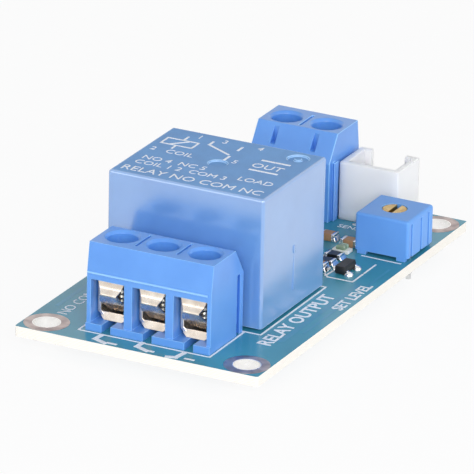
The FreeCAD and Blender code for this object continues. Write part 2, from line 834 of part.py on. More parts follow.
def make_terminal_housing(row):
    """The moulded block: profile, wire entries, screw bores, feet and its dovetail."""
    body = new_body(row.name + "_housing", row.x, row.y, top, row.turn)
    width = row.count * s.pitch
    half = width / 2
    name = row.name

    profile = sketch(body, name + "_profile", "YZ_Plane", -half)
    crest = s.fold_lean + s.crest_depth
    polygon(profile, [(ZERO, ZERO), (s.terminal_depth, ZERO), (s.terminal_depth, s.back_wall_height),
                      (crest, s.terminal_height), (s.fold_lean, s.terminal_height), (ZERO, s.fold_height)])
    feature(body, "Pad", name + "_block", profile, width)

    feet = sketch(body, name + "_feet", "YZ_Plane", -half)
    rectangle(feet, (-s.foot_proud, s.lintel_thick), (ZERO, s.foot_height))
    feature(body, "Pad", name + "_foot_strip", feet, width)

    entries = sketch(body, name + "_entries", "XZ_Plane")
    chambers = sketch(body, name + "_chambers", "XZ_Plane", -s.lintel_thick)
    foot_slots = sketch(body, name + "_foot_slots", "XZ_Plane", s.foot_proud)
    bores = sketch(body, name + "_bores", "XY_Plane", s.terminal_height)
    key_slots = sketch(body, name + "_key_slots", "XZ_Plane", -s.terminal_depth)
    for offset in row.offsets():
        sides = (offset - entry_half, offset + entry_half)
        rectangle(entries, sides, (s.foot_height, s.lintel_height))
        rectangle(chambers, sides, (s.foot_height, chamber_height))
        rectangle(foot_slots, (offset - s.foot_slot / 2, offset + s.foot_slot / 2), (ZERO, s.foot_height))
        circle(bores, offset, s.screw_depth, bore_dia)
        rectangle(key_slots, (offset - s.key_slot_width / 2, offset + s.key_slot_width / 2),
                  (s.key_slot_bottom, s.key_slot_bottom + s.key_slot_height))
    feature(body, "Pocket", name + "_entry_cut", entries, chamber_back)
    feature(body, "Pocket", name + "_chamber_cut", chambers, chamber_back - s.lintel_thick)
    slot_back = s.cage_pin_depth + s.cage_pin_thick / 2 + s.fit_gap
    feature(body, "Pocket", name + "_foot_cut", foot_slots, s.foot_proud + slot_back)
    feature(body, "Pocket", name + "_bore_cut", bores, s.terminal_height - chamber_height)
    feature(body, "Pocket", name + "_key_cut", key_slots, s.terminal_depth - s.key_slot_floor, reverse=True)

    grooves = sketch(body, name + "_grooves", "XY_Plane", s.terminal_height)
    for offset in row.offsets()[1:]:
        middle = offset - s.pitch / 2
        rectangle(grooves, (middle - s.groove_width / 2, middle + s.groove_width / 2),
                  (s.screw_depth - s.groove_length / 2, s.screw_depth + s.groove_length / 2))
    feature(body, "Pocket", name + "_groove_cut", grooves, s.groove_cut)

    mouth, root = s.dovetail_mouth / 2, s.dovetail_root / 2
    channel = sketch(body, name + "_channel", "XY_Plane")
    polygon(channel, [(half, dovetail_depth - mouth), (half, dovetail_depth + mouth),
                      (half - s.dovetail_cut, dovetail_depth + root),
                      (half - s.dovetail_cut, dovetail_depth - root)])
    feature(body, "Pocket", name + "_channel_cut", channel, s.back_wall_height, reverse=True)
    rail = sketch(body, name + "_rail", "XY_Plane")
    neck = mouth - s.fit_gap
    tip = root - s.fit_gap
    polygon(rail, [(-half, dovetail_depth - neck), (-half - rail_proud, dovetail_depth - tip),
                   (-half - rail_proud, dovetail_depth + tip), (-half, dovetail_depth + neck)])
    feature(body, "Pad", name + "_rail_pad", rail, s.back_wall_height)

    high = s.terminal_height.value
    bore = bore_dia.value / 2

    def is_rim(edge):
        curve = edge.Curve
        return level(edge, high) and isinstance(curve, Part.Circle) and abs(curve.Radius - bore) < 1e-4

    dress(body, "Chamfer", name + "_bore_rims", is_rim, s.bore_chamfer)
    keep(body, name + "_terminal_housing")


def make_cage(row, number, offset):
    """The bent metal clamp of one position: tube, threaded top and solder pin."""
    tag = "%s_%d" % (row.name, number)
    body = new_body("cage_" + tag, row.centre(offset), row.y, top, row.turn)
    half = cage_width / 2
    bevel = s.cage_bevel
    sheet_thick = s.cage_sheet
    inner_bevel = bevel - sheet_thick * 0.4
    tube = sketch(body, "cage_tube_" + tag, "XZ_Plane", -s.cage_front)
    polygon(tube, [(-half + bevel, cage_low), (half - bevel, cage_low), (half, cage_low + bevel),
                   (half, cage_top), (-half, cage_top), (-half, cage_low + bevel)])
    inner = half - sheet_thick
    floor = cage_low + sheet_thick
    ceiling = cage_top - s.cage_nut_thick
    polygon(tube, [(-inner + inner_bevel, floor), (inner - inner_bevel, floor), (inner, floor + inner_bevel),
                   (inner, ceiling), (-inner, ceiling), (-inner, floor + inner_bevel)])
    feature(body, "Pad", "cage_bent_" + tag, tube, s.cage_length, reverse=True)
    thread = sketch(body, "cage_thread_" + tag, "XY_Plane", cage_top)
    circle(thread, ZERO, s.screw_depth, screw_dia + 2 * s.screw_running)
    feature(body, "Pocket", "cage_thread_hole_" + tag, thread, s.cage_nut_thick)
    leg = sketch(body, "cage_leg_" + tag, "XY_Plane", floor)
    rectangle(leg, (-s.cage_pin_width / 2, s.cage_pin_width / 2),
              (s.cage_pin_depth - s.cage_pin_thick / 2, s.cage_pin_depth + s.cage_pin_thick / 2))
    feature(body, "Pad", "cage_leg_pin_" + tag, leg, floor + top + s.lead_tail, reverse=True)
    keep(body, "%s_cage_%d" % (row.name, number))


def make_guard(row, number, offset):
    """The wire guard: a tapered apron in the entry, bent back under the screw's tip."""
    tag = "%s_%d" % (row.name, number)
    body = new_body("guard_" + tag, row.centre(offset), row.y, top, row.turn)
    thick = s.guard_sheet
    half = guard_top_width / 2
    side = sketch(body, "guard_side_" + tag, "YZ_Plane", -half)
    polygon(side, [(s.guard_top_depth, s.guard_top), (s.guard_fold_depth, s.guard_fold),
                   (s.guard_lip_depth, s.guard_lip), (guard_pad_front, s.guard_pad),
                   (s.guard_pad_back, s.guard_pad), (s.guard_pad_back, s.guard_pad + thick),
                   (guard_pad_front + thick * 0.5, s.guard_pad + thick),
                   (s.guard_lip_depth + thick, s.guard_lip + thick * 0.4),
                   (s.guard_fold_depth + thick, s.guard_fold), (s.guard_top_depth + thick, s.guard_top)])
    feature(body, "Pad", "guard_bent_" + tag, side, guard_top_width)
    lip_half = s.guard_lip_width / 2
    pad_half = s.guard_pad_width / 2
    taper_top = s.lintel_height - s.guard_sheet
    clear = s.guard_sheet
    trim = sketch(body, "guard_trim_" + tag, "XZ_Plane")
    for way in (-1, 1):
        outer = way * (half + clear)
        points = [(way * half, taper_top), (way * lip_half, s.guard_lip), (way * pad_half, s.guard_pad + thick),
                  (way * pad_half, s.guard_pad - clear), (outer, s.guard_pad - clear), (outer, taper_top)]
        polygon(trim, points)
    feature(body, "Pocket", "guard_taper_" + tag, trim, s.guard_pad_back + clear)
    keep(body, "%s_wire_guard_%d" % (row.name, number))


def make_screw(row, number, offset):
    """The clamping screw with its slotted head."""
    tag = "%s_%d" % (row.name, number)
    body = new_body("screw_" + tag, row.centre(offset), row.at_depth(s.screw_depth), top, row.turn)
    section = sketch(body, "screw_section_" + tag, "XZ_Plane")
    shank = screw_dia / 2
    head = s.screw_head_dia / 2
    point = screw_dia / 8
    polygon(section, [(ZERO, screw_tip), (shank - point, screw_tip), (shank, screw_tip + point),
                      (shank, head_low), (head, head_low), (head, head_high), (ZERO, head_high)])
    turned(body, "screw_turned_" + tag, section)
    slot = sketch(body, "screw_slot_" + tag, "XY_Plane", head_high)
    rectangle(slot, (-s.screw_slot_width / 2, s.screw_slot_width / 2), (-head - s.fit_gap, head + s.fit_gap))
    feature(body, "Pocket", "screw_slot_cut_" + tag, slot, s.screw_slot_cut)
    keep(body, "%s_screw_%d" % (row.name, number))


def make_terminal(row):
    """One terminal block with everything that it holds."""
    make_terminal_housing(row)
    for number, offset in enumerate(row.offsets(), start=1):
        make_cage(row, number, offset)
        make_guard(row, number, offset)
        make_screw(row, number, offset)


# Sensor socket


def make_socket():
    """The shrouded two-pin socket for the sensor's plug."""
    body = new_body("socket", socket_x, socket_y, top)
    half_x = s.socket_width / 2
    half_y = s.socket_depth / 2
    outline = sketch(body, "socket_outline", "XY_Plane")
    rectangle(outline, (-half_x, half_x), (-half_y, half_y))
    feature(body, "Pad", "socket_block", outline, s.socket_height)
    room = sketch(body, "socket_room", "XY_Plane", s.socket_height)
    rectangle(room, (-half_x + s.socket_wall, half_x - s.socket_wall),
              (-half_y + s.socket_wall, half_y - s.socket_wall))
    feature(body, "Pocket", "socket_well", room, s.socket_height - s.socket_floor)
    notch = sketch(body, "socket_notch", "XZ_Plane", -half_y)
    rectangle(notch, (-s.socket_notch_width / 2, s.socket_notch_width / 2),
              (s.socket_height - s.socket_notch_cut, s.socket_height))
    feature(body, "Pocket", "socket_notch_cut", notch, s.socket_wall, reverse=True)
    holes = sketch(body, "socket_holes", "XY_Plane", s.socket_floor)
    reach = s.socket_pin_side / 2 + s.press_gap
    for side in (-1, 1):
        x = side * s.socket_pitch / 2
        rectangle(holes, (x - reach, x + reach), (-reach, reach))
    feature(body, "Pocket", "socket_pin_holes", holes, s.socket_floor)
    keep(body, "sensor_socket")
    pins = [lead.solid("socket_pin_%d" % number, tail_end, top + s.socket_pin_top)
            for number, lead in enumerate(socket_leads, start=1)]
    keep(group("socket_pin_set", pins), "sensor_socket_pins")


# Trimmer

element_low = s.trimmer_standoff
element_top = element_low + s.element_thick
wiper_low = element_top + s.running_gap
rotor_low = wiper_low + s.wiper_thick * 2
rotor_shoulder = rotor_low + s.rotor_flange_thick
trimmer_ceiling = rotor_shoulder + s.running_gap


def make_trimmer_body():
    """The square case with its rotor bore, ribbed side and corner feet."""
    body = new_body("trimmer", trimmer_x, trimmer_y, top)
    half_x = s.trimmer_width / 2
    half_y = s.trimmer_depth / 2
    outline = sketch(body, "trimmer_outline", "XY_Plane", s.trimmer_standoff)
    rectangle(outline, (-half_x, half_x), (-half_y, half_y))
    feature(body, "Pad", "trimmer_block", outline, s.trimmer_height - s.trimmer_standoff)
    high = s.trimmer_height.value
    tall = high / 2
    dress(body, "Fillet", "trimmer_rounds", lambda edge: upright(edge, tall) or level(edge, high), s.trimmer_round)
    room = sketch(body, "trimmer_room", "XY_Plane", s.trimmer_standoff)
    rectangle(room, (-half_x + s.trimmer_wall, half_x - s.trimmer_wall),
              (-half_y + s.trimmer_wall, half_y - s.trimmer_wall))
    feature(body, "Pocket", "trimmer_hollow", room, trimmer_ceiling - s.trimmer_standoff, reverse=True)
    bore = sketch(body, "trimmer_bore", "XY_Plane", s.trimmer_height)
    circle(bore, ZERO, ZERO, s.rotor_dia + 2 * s.running_gap)
    feature(body, "Pocket", "trimmer_rotor_bore", bore, s.trimmer_height - trimmer_ceiling)
    ribs = sketch(body, "trimmer_ribs", "XY_Plane", s.trimmer_height - s.rib_top_margin)
    for y in (s.rib_front, s.rib_middle, s.rib_back):
        rectangle(ribs, (half_x - s.rib_cut, half_x), (y - s.rib_groove / 2, y + s.rib_groove / 2))
    rib_length = s.trimmer_height - s.rib_top_margin - s.trimmer_standoff
    feature(body, "Pocket", "trimmer_rib_grooves", ribs, rib_length)
    feet = sketch(body, "trimmer_feet", "XY_Plane")
    inner = s.trimmer_round
    for side_x in (-1, 1):
        for side_y in (-1, 1):
            corner_x = side_x * (half_x - inner - s.trimmer_foot / 2)
            corner_y = side_y * (half_y - s.trimmer_wall / 2)
            rectangle(feet, (corner_x - s.trimmer_foot / 2, corner_x + s.trimmer_foot / 2),
                      (corner_y - s.trimmer_wall / 2, corner_y + s.trimmer_wall / 2))
    feature(body, "Pad", "trimmer_foot_pads", feet, s.trimmer_standoff)
    keep(body, "trimmer_body")


def make_trimmer_inside():
    """The rotor, its wiper, the resistive element and the three pins."""
    body = new_body("rotor", trimmer_x, trimmer_y, top)
    section = sketch(body, "rotor_section", "XZ_Plane")
    head = s.rotor_dia / 2
    flange = s.rotor_flange_dia / 2
    rotor_top = s.trimmer_height - s.rotor_recess
    polygon(section, [(ZERO, rotor_low), (flange, rotor_low), (flange, rotor_shoulder), (head, rotor_shoulder),
                      (head, rotor_top), (ZERO, rotor_top)])
    turned(body, "rotor_turned", section)
    slot = sketch(body, "rotor_slot", "XY_Plane", rotor_top)
    rectangle(slot, (-s.rotor_slot_width / 2, s.rotor_slot_width / 2), (-head - s.fit_gap, head + s.fit_gap))
    feature(body, "Pocket", "rotor_slot_cut", slot, s.rotor_slot_cut)
    keep(body, "trimmer_rotor")

    body = new_body("wiper", trimmer_x, trimmer_y, top)
    disc = sketch(body, "wiper_disc", "XY_Plane", wiper_low + s.wiper_thick)
    circle(disc, ZERO, ZERO, s.wiper_dia)
    feature(body, "Pad", "wiper_plate", disc, s.wiper_thick)
    fingers = sketch(body, "wiper_fingers", "XY_Plane", wiper_low + s.wiper_thick)
    for step in (ZERO, s.wiper_orbit):
        circle(fingers, step, ZERO, s.wiper_finger_dia)
    feature(body, "Pad", "wiper_dimples", fingers, s.wiper_thick, reverse=True)
    keep(body, "trimmer_wiper")

    half_x = s.trimmer_width / 2 - s.trimmer_wall - s.fit_gap
    half_y = s.trimmer_depth / 2 - s.trimmer_wall - s.fit_gap
    element = box("element", (trimmer_x - half_x, trimmer_x + half_x), (trimmer_y - half_y, trimmer_y + half_y),
                  (top + element_low, top + element_top))
    keep(element, "trimmer_element")
    pins = [lead.solid("trimmer_pin_%d" % number, tail_end, top + element_low)
            for number, lead in enumerate(trimmer_leads, start=1)]
    keep(group("trimmer_pin_set", pins), "trimmer_pins")


# Small parts on the board

east_column = trimmer_x - s.trimmer_width / 2 - s.chip_gap - s.chip_length / 2
middle_column = east_column - s.middle_column_step
west_column = board_west + s.west_column_inset
amp_x = s.relay_x - s.amp_offset
amp_y = relay_back + s.amp_setback
driver_x = east_column + s.driver_offset
driver_y = relay_back + s.driver_setback
diode_x = s.relay_x + s.diode_offset
diode_y = relay_back + s.diode_gap + s.diode_width / 2


def east_row(number):
    """The Y of a chip in the column beside the trimmer."""
    return relay_back + s.chip_row_start + number * s.chip_row_step


def middle_row(number):
    """The Y of a chip in the middle column."""
    return relay_back + s.middle_row_start + number * s.middle_row_step


def west_row(number):
    """The Y of a chip along the board's west edge."""
    return relay_back + s.west_row_start + number * s.west_row_step


# What lies where: name, X, Y and whether the part's length runs along Y.
RESISTORS = (
    ("pull_up", east_column, east_row(1), False),
    ("sense", east_column, east_row(2), False),
    ("base_drive", middle_column, middle_row(0), True),
    ("feedback", middle_column, middle_row(1), True),
    ("power_lamp", west_column, west_row(1), True),
    ("relay_lamp", west_column, west_row(2), True),
)
CAPACITORS = (
    ("decoupling", east_column, east_row(0), False),
    ("filter", east_column, east_row(4), False),
    ("supply", middle_column + s.chip_length / 2, east_row(4) + s.chip_width / 2, False),
)
LEDS = (
    ("relay_on", east_column, east_row(3), False),
    ("power_on", west_column, west_row(0), True),
)


def gull_wing(name, x, y, turn, half_body, height, width, reach, standoff):
    """A bent lead that leaves a moulded body at half its height and lands on the board."""
    body = new_body(name, x, y, top, turn)
    thick = s.lead_sheet
    shoulder = half_body + reach * 0.35
    side = sketch(body, name + "_side", "XZ_Plane", -width / 2)
    middle = standoff + (height - standoff) / 2
    polygon(side, [(half_body, middle), (half_body, middle - thick), (shoulder - thick, middle - thick),
                   (shoulder, ZERO), (half_body + reach, ZERO), (half_body + reach, thick),
                   (shoulder + thick, thick), (shoulder, middle)])
    feature(body, "Pad", name + "_bent", side, width)
    return body


def moulded_body(name, x, y, length, width, low, high):
    """A moulded case that narrows towards its top from its parting line, length along X."""
    body = new_body(name, x, y, top)
    middle = low + (high - low) / 2
    parting = sketch(body, name + "_parting", "XY_Plane", middle)
    rectangle(parting, (-length / 2, length / 2), (-width / 2, width / 2))
    for half, reach, downwards in (("_upper", high - middle, False), ("_lower", middle - low, True)):
        pad = feature(body, "Pad", name + half, parting, reach, reverse=downwards)
        bind(pad, "TaperAngle", -s.case_draft)
    return body


def make_amp():
    """The comparator: an eight-lead case with its index mark."""
    body = moulded_body("amp", amp_x, amp_y, s.amp_length, s.amp_width, s.amp_standoff, s.amp_height)
    mark = sketch(body, "amp_mark", "XY_Plane", s.amp_height)
    inset = s.amp_mark_dia * 1.4
    circle(mark, -s.amp_length / 2 + inset, -s.amp_width / 2 + inset, s.amp_mark_dia)
    feature(body, "Pocket", "amp_mark_cut", mark, s.lead_sheet / 2)
    keep(body, "comparator_body")
    leads = []
    for turn, way in ((90.0, 1), (-90.0, -1)):
        for index in range(4):
            x = amp_x + (index - 1.5) * s.amp_lead_pitch
            leads.append(gull_wing("amp_lead_%d" % len(leads), x, amp_y, turn, s.amp_width / 2, s.amp_height,
                                   s.amp_lead_width, s.amp_lead_reach, s.amp_standoff))
    keep(group("amp_leads", leads), "comparator_leads")


def make_driver():
    """The small transistor that drives the coil."""
    body = moulded_body("driver", driver_x, driver_y, s.driver_width, s.driver_length, s.driver_standoff,
                        s.driver_height)
    keep(body, "transistor_body")
    leads = []
    for turn, shift in ((0.0, -1), (0.0, 1), (180.0, 0)):
        leads.append(gull_wing("driver_lead_%d" % len(leads), driver_x, driver_y + shift * s.driver_lead_spread, turn,
                               s.driver_width / 2, s.driver_height, s.driver_lead_width, s.driver_lead_reach,
                               s.driver_standoff))
    keep(group("driver_leads", leads), "transistor_leads")


def make_diode():
    """The diode across the coil, with its flat leads folded under the case."""
    low = s.lead_sheet
    body = moulded_body("diode", diode_x, diode_y, s.diode_length, s.diode_width, low, s.diode_height)
    keep(body, "diode_body")
    leads = []
    for number, turn in enumerate((0.0, 180.0), start=1):
        lead = new_body("diode_lead_%d" % number, diode_x, diode_y, top, turn)
        side = sketch(lead, "diode_lead_side_%d" % number, "XZ_Plane", -s.diode_lead_width / 2)
        half = s.diode_length / 2
        thick = s.lead_sheet
        middle = low + (s.diode_height - low) / 2
        polygon(side, [(half, middle), (half + s.diode_lead_reach, middle), (half + s.diode_lead_reach, ZERO),
                       (half - s.diode_lead_reach, ZERO), (half - s.diode_lead_reach, thick),
                       (half + s.diode_lead_reach - thick, thick), (half + s.diode_lead_reach - thick, middle - thick),
                       (half, middle - thick)])
        feature(lead, "Pad", "diode_lead_bent_%d" % number, side, s.diode_lead_width)
        leads.append(lead)
    keep(group("diode_lead_set", leads), "diode_leads")


def chip_piece(name, x, y, along_y, start, length, width, low, high):
    """A box along a chip's length, measured from the chip's middle."""
    if along_y:
        return box(name, (x - width / 2, x + width / 2), (y + start, y + start + length), (low, high))
    return box(name, (x + start, x + start + length), (y - width / 2, y + width / 2), (low, high))


def make_chips(kind, table, height):
    """Chip resistors or capacitors: the ceramic blocks and their metal end caps."""
    blocks = []
    caps = []
    wrap = s.chip_cap_thick
    inner = s.chip_length - 2 * s.chip_cap_length
    for name, x, y, along_y in table:
        blocks.append(chip_piece("%s_%s" % (kind, name), x, y, along_y, -inner / 2, inner, s.chip_width,
                                 top + wrap, top + wrap + height))
        for end, start in ((1, -s.chip_length / 2), (2, inner / 2)):
            caps.append(chip_piece("%s_%s_cap_%d" % (kind, name, end), x, y, along_y, start, s.chip_cap_length,
                                   s.chip_width + 2 * wrap, top, top + height + 2 * wrap))
    keep(group(kind + "_blocks", blocks), "chip_%ss" % kind)
    keep(group(kind + "_caps", caps), "%s_end_caps" % kind)


def make_leds():
    """The two indicator lamps: a white carrier with a clear lens."""
    bases = []
    lenses = []
    for name, x, y, along_y in LEDS:
        turn = 90.0 if along_y else 0.0
        bases.append(chip_piece("led_%s" % name, x, y, along_y, -s.chip_length / 2, s.chip_length, s.chip_width,
                                top, top + s.led_base_height))
        lens = new_body("led_lens_" + name, x, y, top, turn)
        outline = sketch(lens, "led_lens_outline_" + name, "XY_Plane", s.led_base_height)
        rectangle(outline, (-s.led_lens_length / 2, s.led_lens_length / 2), (-s.chip_width / 2, s.chip_width / 2))
        pad = feature(lens, "Pad", "led_lens_pad_" + name, outline, s.led_lens_height)
        bind(pad, "TaperAngle", -s.led_lens_taper)
        lenses.append(lens)
    keep(group("led_bases", bases), "indicator_bases")
    keep(group("led_lenses", lenses), "indicator_lenses")


def check_document():
    """Stops if any object failed or any sub-part has no sound shape."""
    for obj in doc.Objects:
        if "Invalid" in obj.State or "Error" in obj.State:
            raise RuntimeError("%s failed: %s" % (obj.Name, obj.State))
    for node, obj in nodes.items():
        if obj.Shape.isNull() or not obj.Shape.isValid():
            raise RuntimeError("%s has no valid shape" % node)


def write_parts():
    """Writes one file for each sub-part."""
    os.makedirs("parts", exist_ok=True)
    for node, obj in nodes.items():
        obj.Shape.exportStep("parts/%s.step" % node)
        print("%-28s %2d solids %10.3f mm3" % (node, len(obj.Shape.Solids), obj.Shape.Volume))


make_board()
make_hole_plating()
make_solder_joints()
make_relay_cover()
make_relay_base()
make_relay_coil()
make_relay_yoke()
make_relay_armature()
make_relay_contacts()
make_terminal(OUTPUT)
make_terminal(INPUT)
make_socket()
make_trimmer_body()
make_trimmer_inside()
make_amp()
make_driver()
make_diode()
make_chips("resistor", RESISTORS, s.resistor_height)
make_chips("capacitor", CAPACITORS, s.capacitor_height)
make_leds()
doc.recompute()
check_document()
write_parts()
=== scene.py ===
"""Looks of the light sensor module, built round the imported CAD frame.

The board, its relay, the two screw terminals, the sensor socket, the trimmer and the
small parts each have a class. A class holds its sizes, models its pieces with Blender's
own operators and gives them finishes made from nodes. Every size and place is in
millimetres, unless it is said to be in metres.
"""
from __future__ import annotations

import functools
import itertools
import json
import logging
import math
from collections.abc import Callable, Sequence
from dataclasses import dataclass
from enum import Enum

import bmesh
import bpy
from bpy.types import ID, Material, Node, NodeSocket, Object
from mathutils import Matrix, Vector


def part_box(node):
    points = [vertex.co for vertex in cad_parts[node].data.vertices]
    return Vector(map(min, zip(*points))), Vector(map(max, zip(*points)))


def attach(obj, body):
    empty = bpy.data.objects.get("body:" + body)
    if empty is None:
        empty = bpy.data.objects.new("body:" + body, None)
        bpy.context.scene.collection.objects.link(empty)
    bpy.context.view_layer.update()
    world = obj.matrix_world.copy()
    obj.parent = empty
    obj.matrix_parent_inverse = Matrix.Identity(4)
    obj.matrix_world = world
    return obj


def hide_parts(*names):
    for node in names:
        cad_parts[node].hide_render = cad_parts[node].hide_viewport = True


MM = 0.001
BOARD_TOP = 1.2
LOG = logging.getLogger("light_sensor_module")
WHITE = (1.0, 1.0, 1.0, 1.0)
# A wave texture has about this many half bands to one unit of its scale.
HALF_BANDS = 6.3

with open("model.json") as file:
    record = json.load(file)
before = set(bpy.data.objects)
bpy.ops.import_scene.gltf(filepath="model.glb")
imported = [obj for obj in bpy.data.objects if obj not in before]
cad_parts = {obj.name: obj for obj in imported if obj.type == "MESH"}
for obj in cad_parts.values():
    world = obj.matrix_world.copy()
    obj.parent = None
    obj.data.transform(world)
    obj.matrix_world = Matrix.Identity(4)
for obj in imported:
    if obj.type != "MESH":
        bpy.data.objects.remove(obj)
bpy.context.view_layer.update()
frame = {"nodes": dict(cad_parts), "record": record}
NODE_BODY = {node: body for body, held in frame["record"]["behaviour"]["bodies"].items() for node in held}
NODE_SLOT = {part["node"]: part["material_slot"] for part in frame["record"]["subparts"]}

# A row of numbers, a row of those, and lines with their widths.
Point = Sequence[float]
Points = Sequence[Point]
Runs = Sequence[tuple[float, Points]]


# Colour and nodes


def linear(colour: str) -> tuple[float, float, float, float]:
    """Turns an sRGB hex colour into the linear values that a shader takes.

    Args:
        colour: Six hex digits, such as "3A7BC8".

    Returns:
        Red, green, blue and an alpha of one.
    """
    parts = [int(colour[i : i + 2], 16) / 255 for i in (0, 2, 4)]
    values = [p / 12.92 if p <= 0.04045 else ((p + 0.055) / 1.055) ** 2.4 for p in parts]
    return (values[0], values[1], values[2], 1.0)


def per(size_mm: float) -> float:
    """Gives the texture scale at which a pattern's grain has this size."""
    return 1 / (size_mm * MM)


class Recipe:
    """The nodes of one material or world."""

    def __init__(self, owner: ID) -> None:
        """Clears the owner's nodes."""
        owner.use_nodes = True
        owner.node_tree.nodes.clear()
        self.owner = owner
        self.places = self.add("TexCoord").outputs

    def add(self, kind: str, inputs: dict | Sequence = (), stops: Sequence[tuple] = (),
            **settings: object) -> Node:
        """Adds one shader node with its settings and its links.

        Args:
            kind: The node's type name, without its "ShaderNode".
            inputs: Input names with their values, or the first inputs' values in order. A node
                as a value stands for its first output. A texture reads object coordinates
                unless its Vector is given.
            stops: A colour ramp's pairs of place and sRGB hex colour.
            settings: Attributes of the node, set before its inputs.

        Returns:
            The new node.
        """
        tree = self.owner.node_tree
        node = tree.nodes.new("ShaderNode" + kind)
        for name, value in settings.items():
            setattr(node, name, value)
        if not isinstance(inputs, dict):
            inputs = dict(enumerate(inputs))
        elif kind.startswith("Tex"):
            inputs = {"Vector": self.places["Object"], **inputs}
        for name, value in inputs.items():
            if isinstance(value, Node):
                value = value.outputs[0]
            if isinstance(value, NodeSocket):
                tree.links.new(value, node.inputs[name])
            else:
                node.inputs[name].default_value = value
        for number, (place, colour) in enumerate(stops):
            element = node.color_ramp.elements[number]
            element.position, element.color = place, linear(colour)
        return node

    def backdrop_rays(self) -> Node:
        """Picks out the rays that show the backdrop: camera, glossy and transmission rays.

        Returns:
            A node that gives 1 for them and 0 for all others.
        """
        rays = self.add("LightPath").outputs
        seen = self.add("Math", (rays["Is Camera Ray"], rays["Is Glossy Ray"]), operation="MAXIMUM")
        return self.add("Math", (seen, rays["Is Transmission Ray"]), operation="MAXIMUM")

    def close(self, shader: dict, height: Node, depth_mm: float, strength: float = 1.0) -> None:
        """Ends a material in a principled shader with relief.

        Args:
            shader: Inputs of the principled shader.
            height: The relief's height, from 0 to 1.
            depth_mm: How deep a height of 1 is.
            strength: How much of the relief shows.
        """
        bump = self.add("Bump", {"Height": height, "Distance": depth_mm * MM, "Strength": strength})
        self.add("OutputMaterial", (self.add("BsdfPrincipled", {**shader, "Normal": bump}),))


@dataclass(frozen=True)
class Surface:
    """What every finish has: a name, a colour, and the shade that its pattern runs to."""

    name: str
    base: str
    shade: str = ""


@dataclass(frozen=True)
class Moulding(Surface):
    """Injection-moulded plastic with a fine spark-eroded grain and flow mottling.

    The grain breaks the highlight up a little, and the mottling keeps large faces from
    being one flat colour.
    """

    roughness: float = 0.35
    ior: float = 1.5
    grain_mm: float = 0.12
    grain_depth_mm: float = 0.004
    mottle_mm: float = 6.0
    glow: float = 0.0
    scatter: Point = (0.4, 0.7, 1.0)
    scatter_mm: float = 2.0
    coat: float = 0.0
    coat_ior: float = 1.5
    coat_roughness: float = 0.2

    def fill(self, mix: Recipe) -> None:
        """Adds the nodes."""
        mottle = mix.add("TexNoise", {"Scale": per(self.mottle_mm), "Detail": 3.0})
        colour = mix.add("ValToRGB", (mottle,), ((0.3, self.shade), (0.7, self.base)))
        grain = mix.add("TexNoise", {"Scale": per(self.grain_mm), "Detail": 2.0})
        polish = mix.add("MapRange", {
            "Value": mottle, "From Min": 0.3, "From Max": 0.7,
            "To Min": self.roughness * 0.9, "To Max": self.roughness * 1.12})
        mix.close({
            "Base Color": colour, "Roughness": polish, "IOR": self.ior,
            "Coat Weight": self.coat, "Coat Roughness": self.coat_roughness, "Coat IOR": self.coat_ior,
            "Subsurface Weight": self.glow, "Subsurface Scale": self.scatter_mm * MM,
            "Subsurface Radius": self.scatter}, grain, self.grain_depth_mm)


@dataclass(frozen=True)
class Plating(Surface):
    """Metal with a plated or tinned skin: bright, with faint rolling marks and dull spots."""

    roughness: float = 0.22
    streak_mm: float = 0.25
    streak_axis: int = 0
    streak_squash: float = 0.08
    spot_mm: float = 1.4
    relief_mm: float = 0.0012
    metal: float = 1.0

    def fill(self, mix: Recipe) -> None:
        """Adds the nodes."""
        squash = [1.0, 1.0, 1.0]
        squash[self.streak_axis] = self.streak_squash
        along = mix.add("Mapping", {"Vector": mix.places["Object"], "Scale": squash})
        streaks = mix.add("TexNoise", {"Vector": along, "Scale": per(self.streak_mm), "Detail": 4.0})
        spots = mix.add("TexNoise", {"Scale": per(self.spot_mm), "Detail": 3.0})
        colour = mix.add("ValToRGB", (spots,), ((0.3, self.shade), (0.62, self.base)))
        polish = mix.add("MapRange", {
            "Value": streaks, "From Min": 0.25, "From Max": 0.75,
            "To Min": self.roughness * 0.7, "To Max": self.roughness * 1.4})
        mix.close({"Base Color": colour, "Metallic": self.metal, "Roughness": polish}, streaks,
                  self.relief_mm)


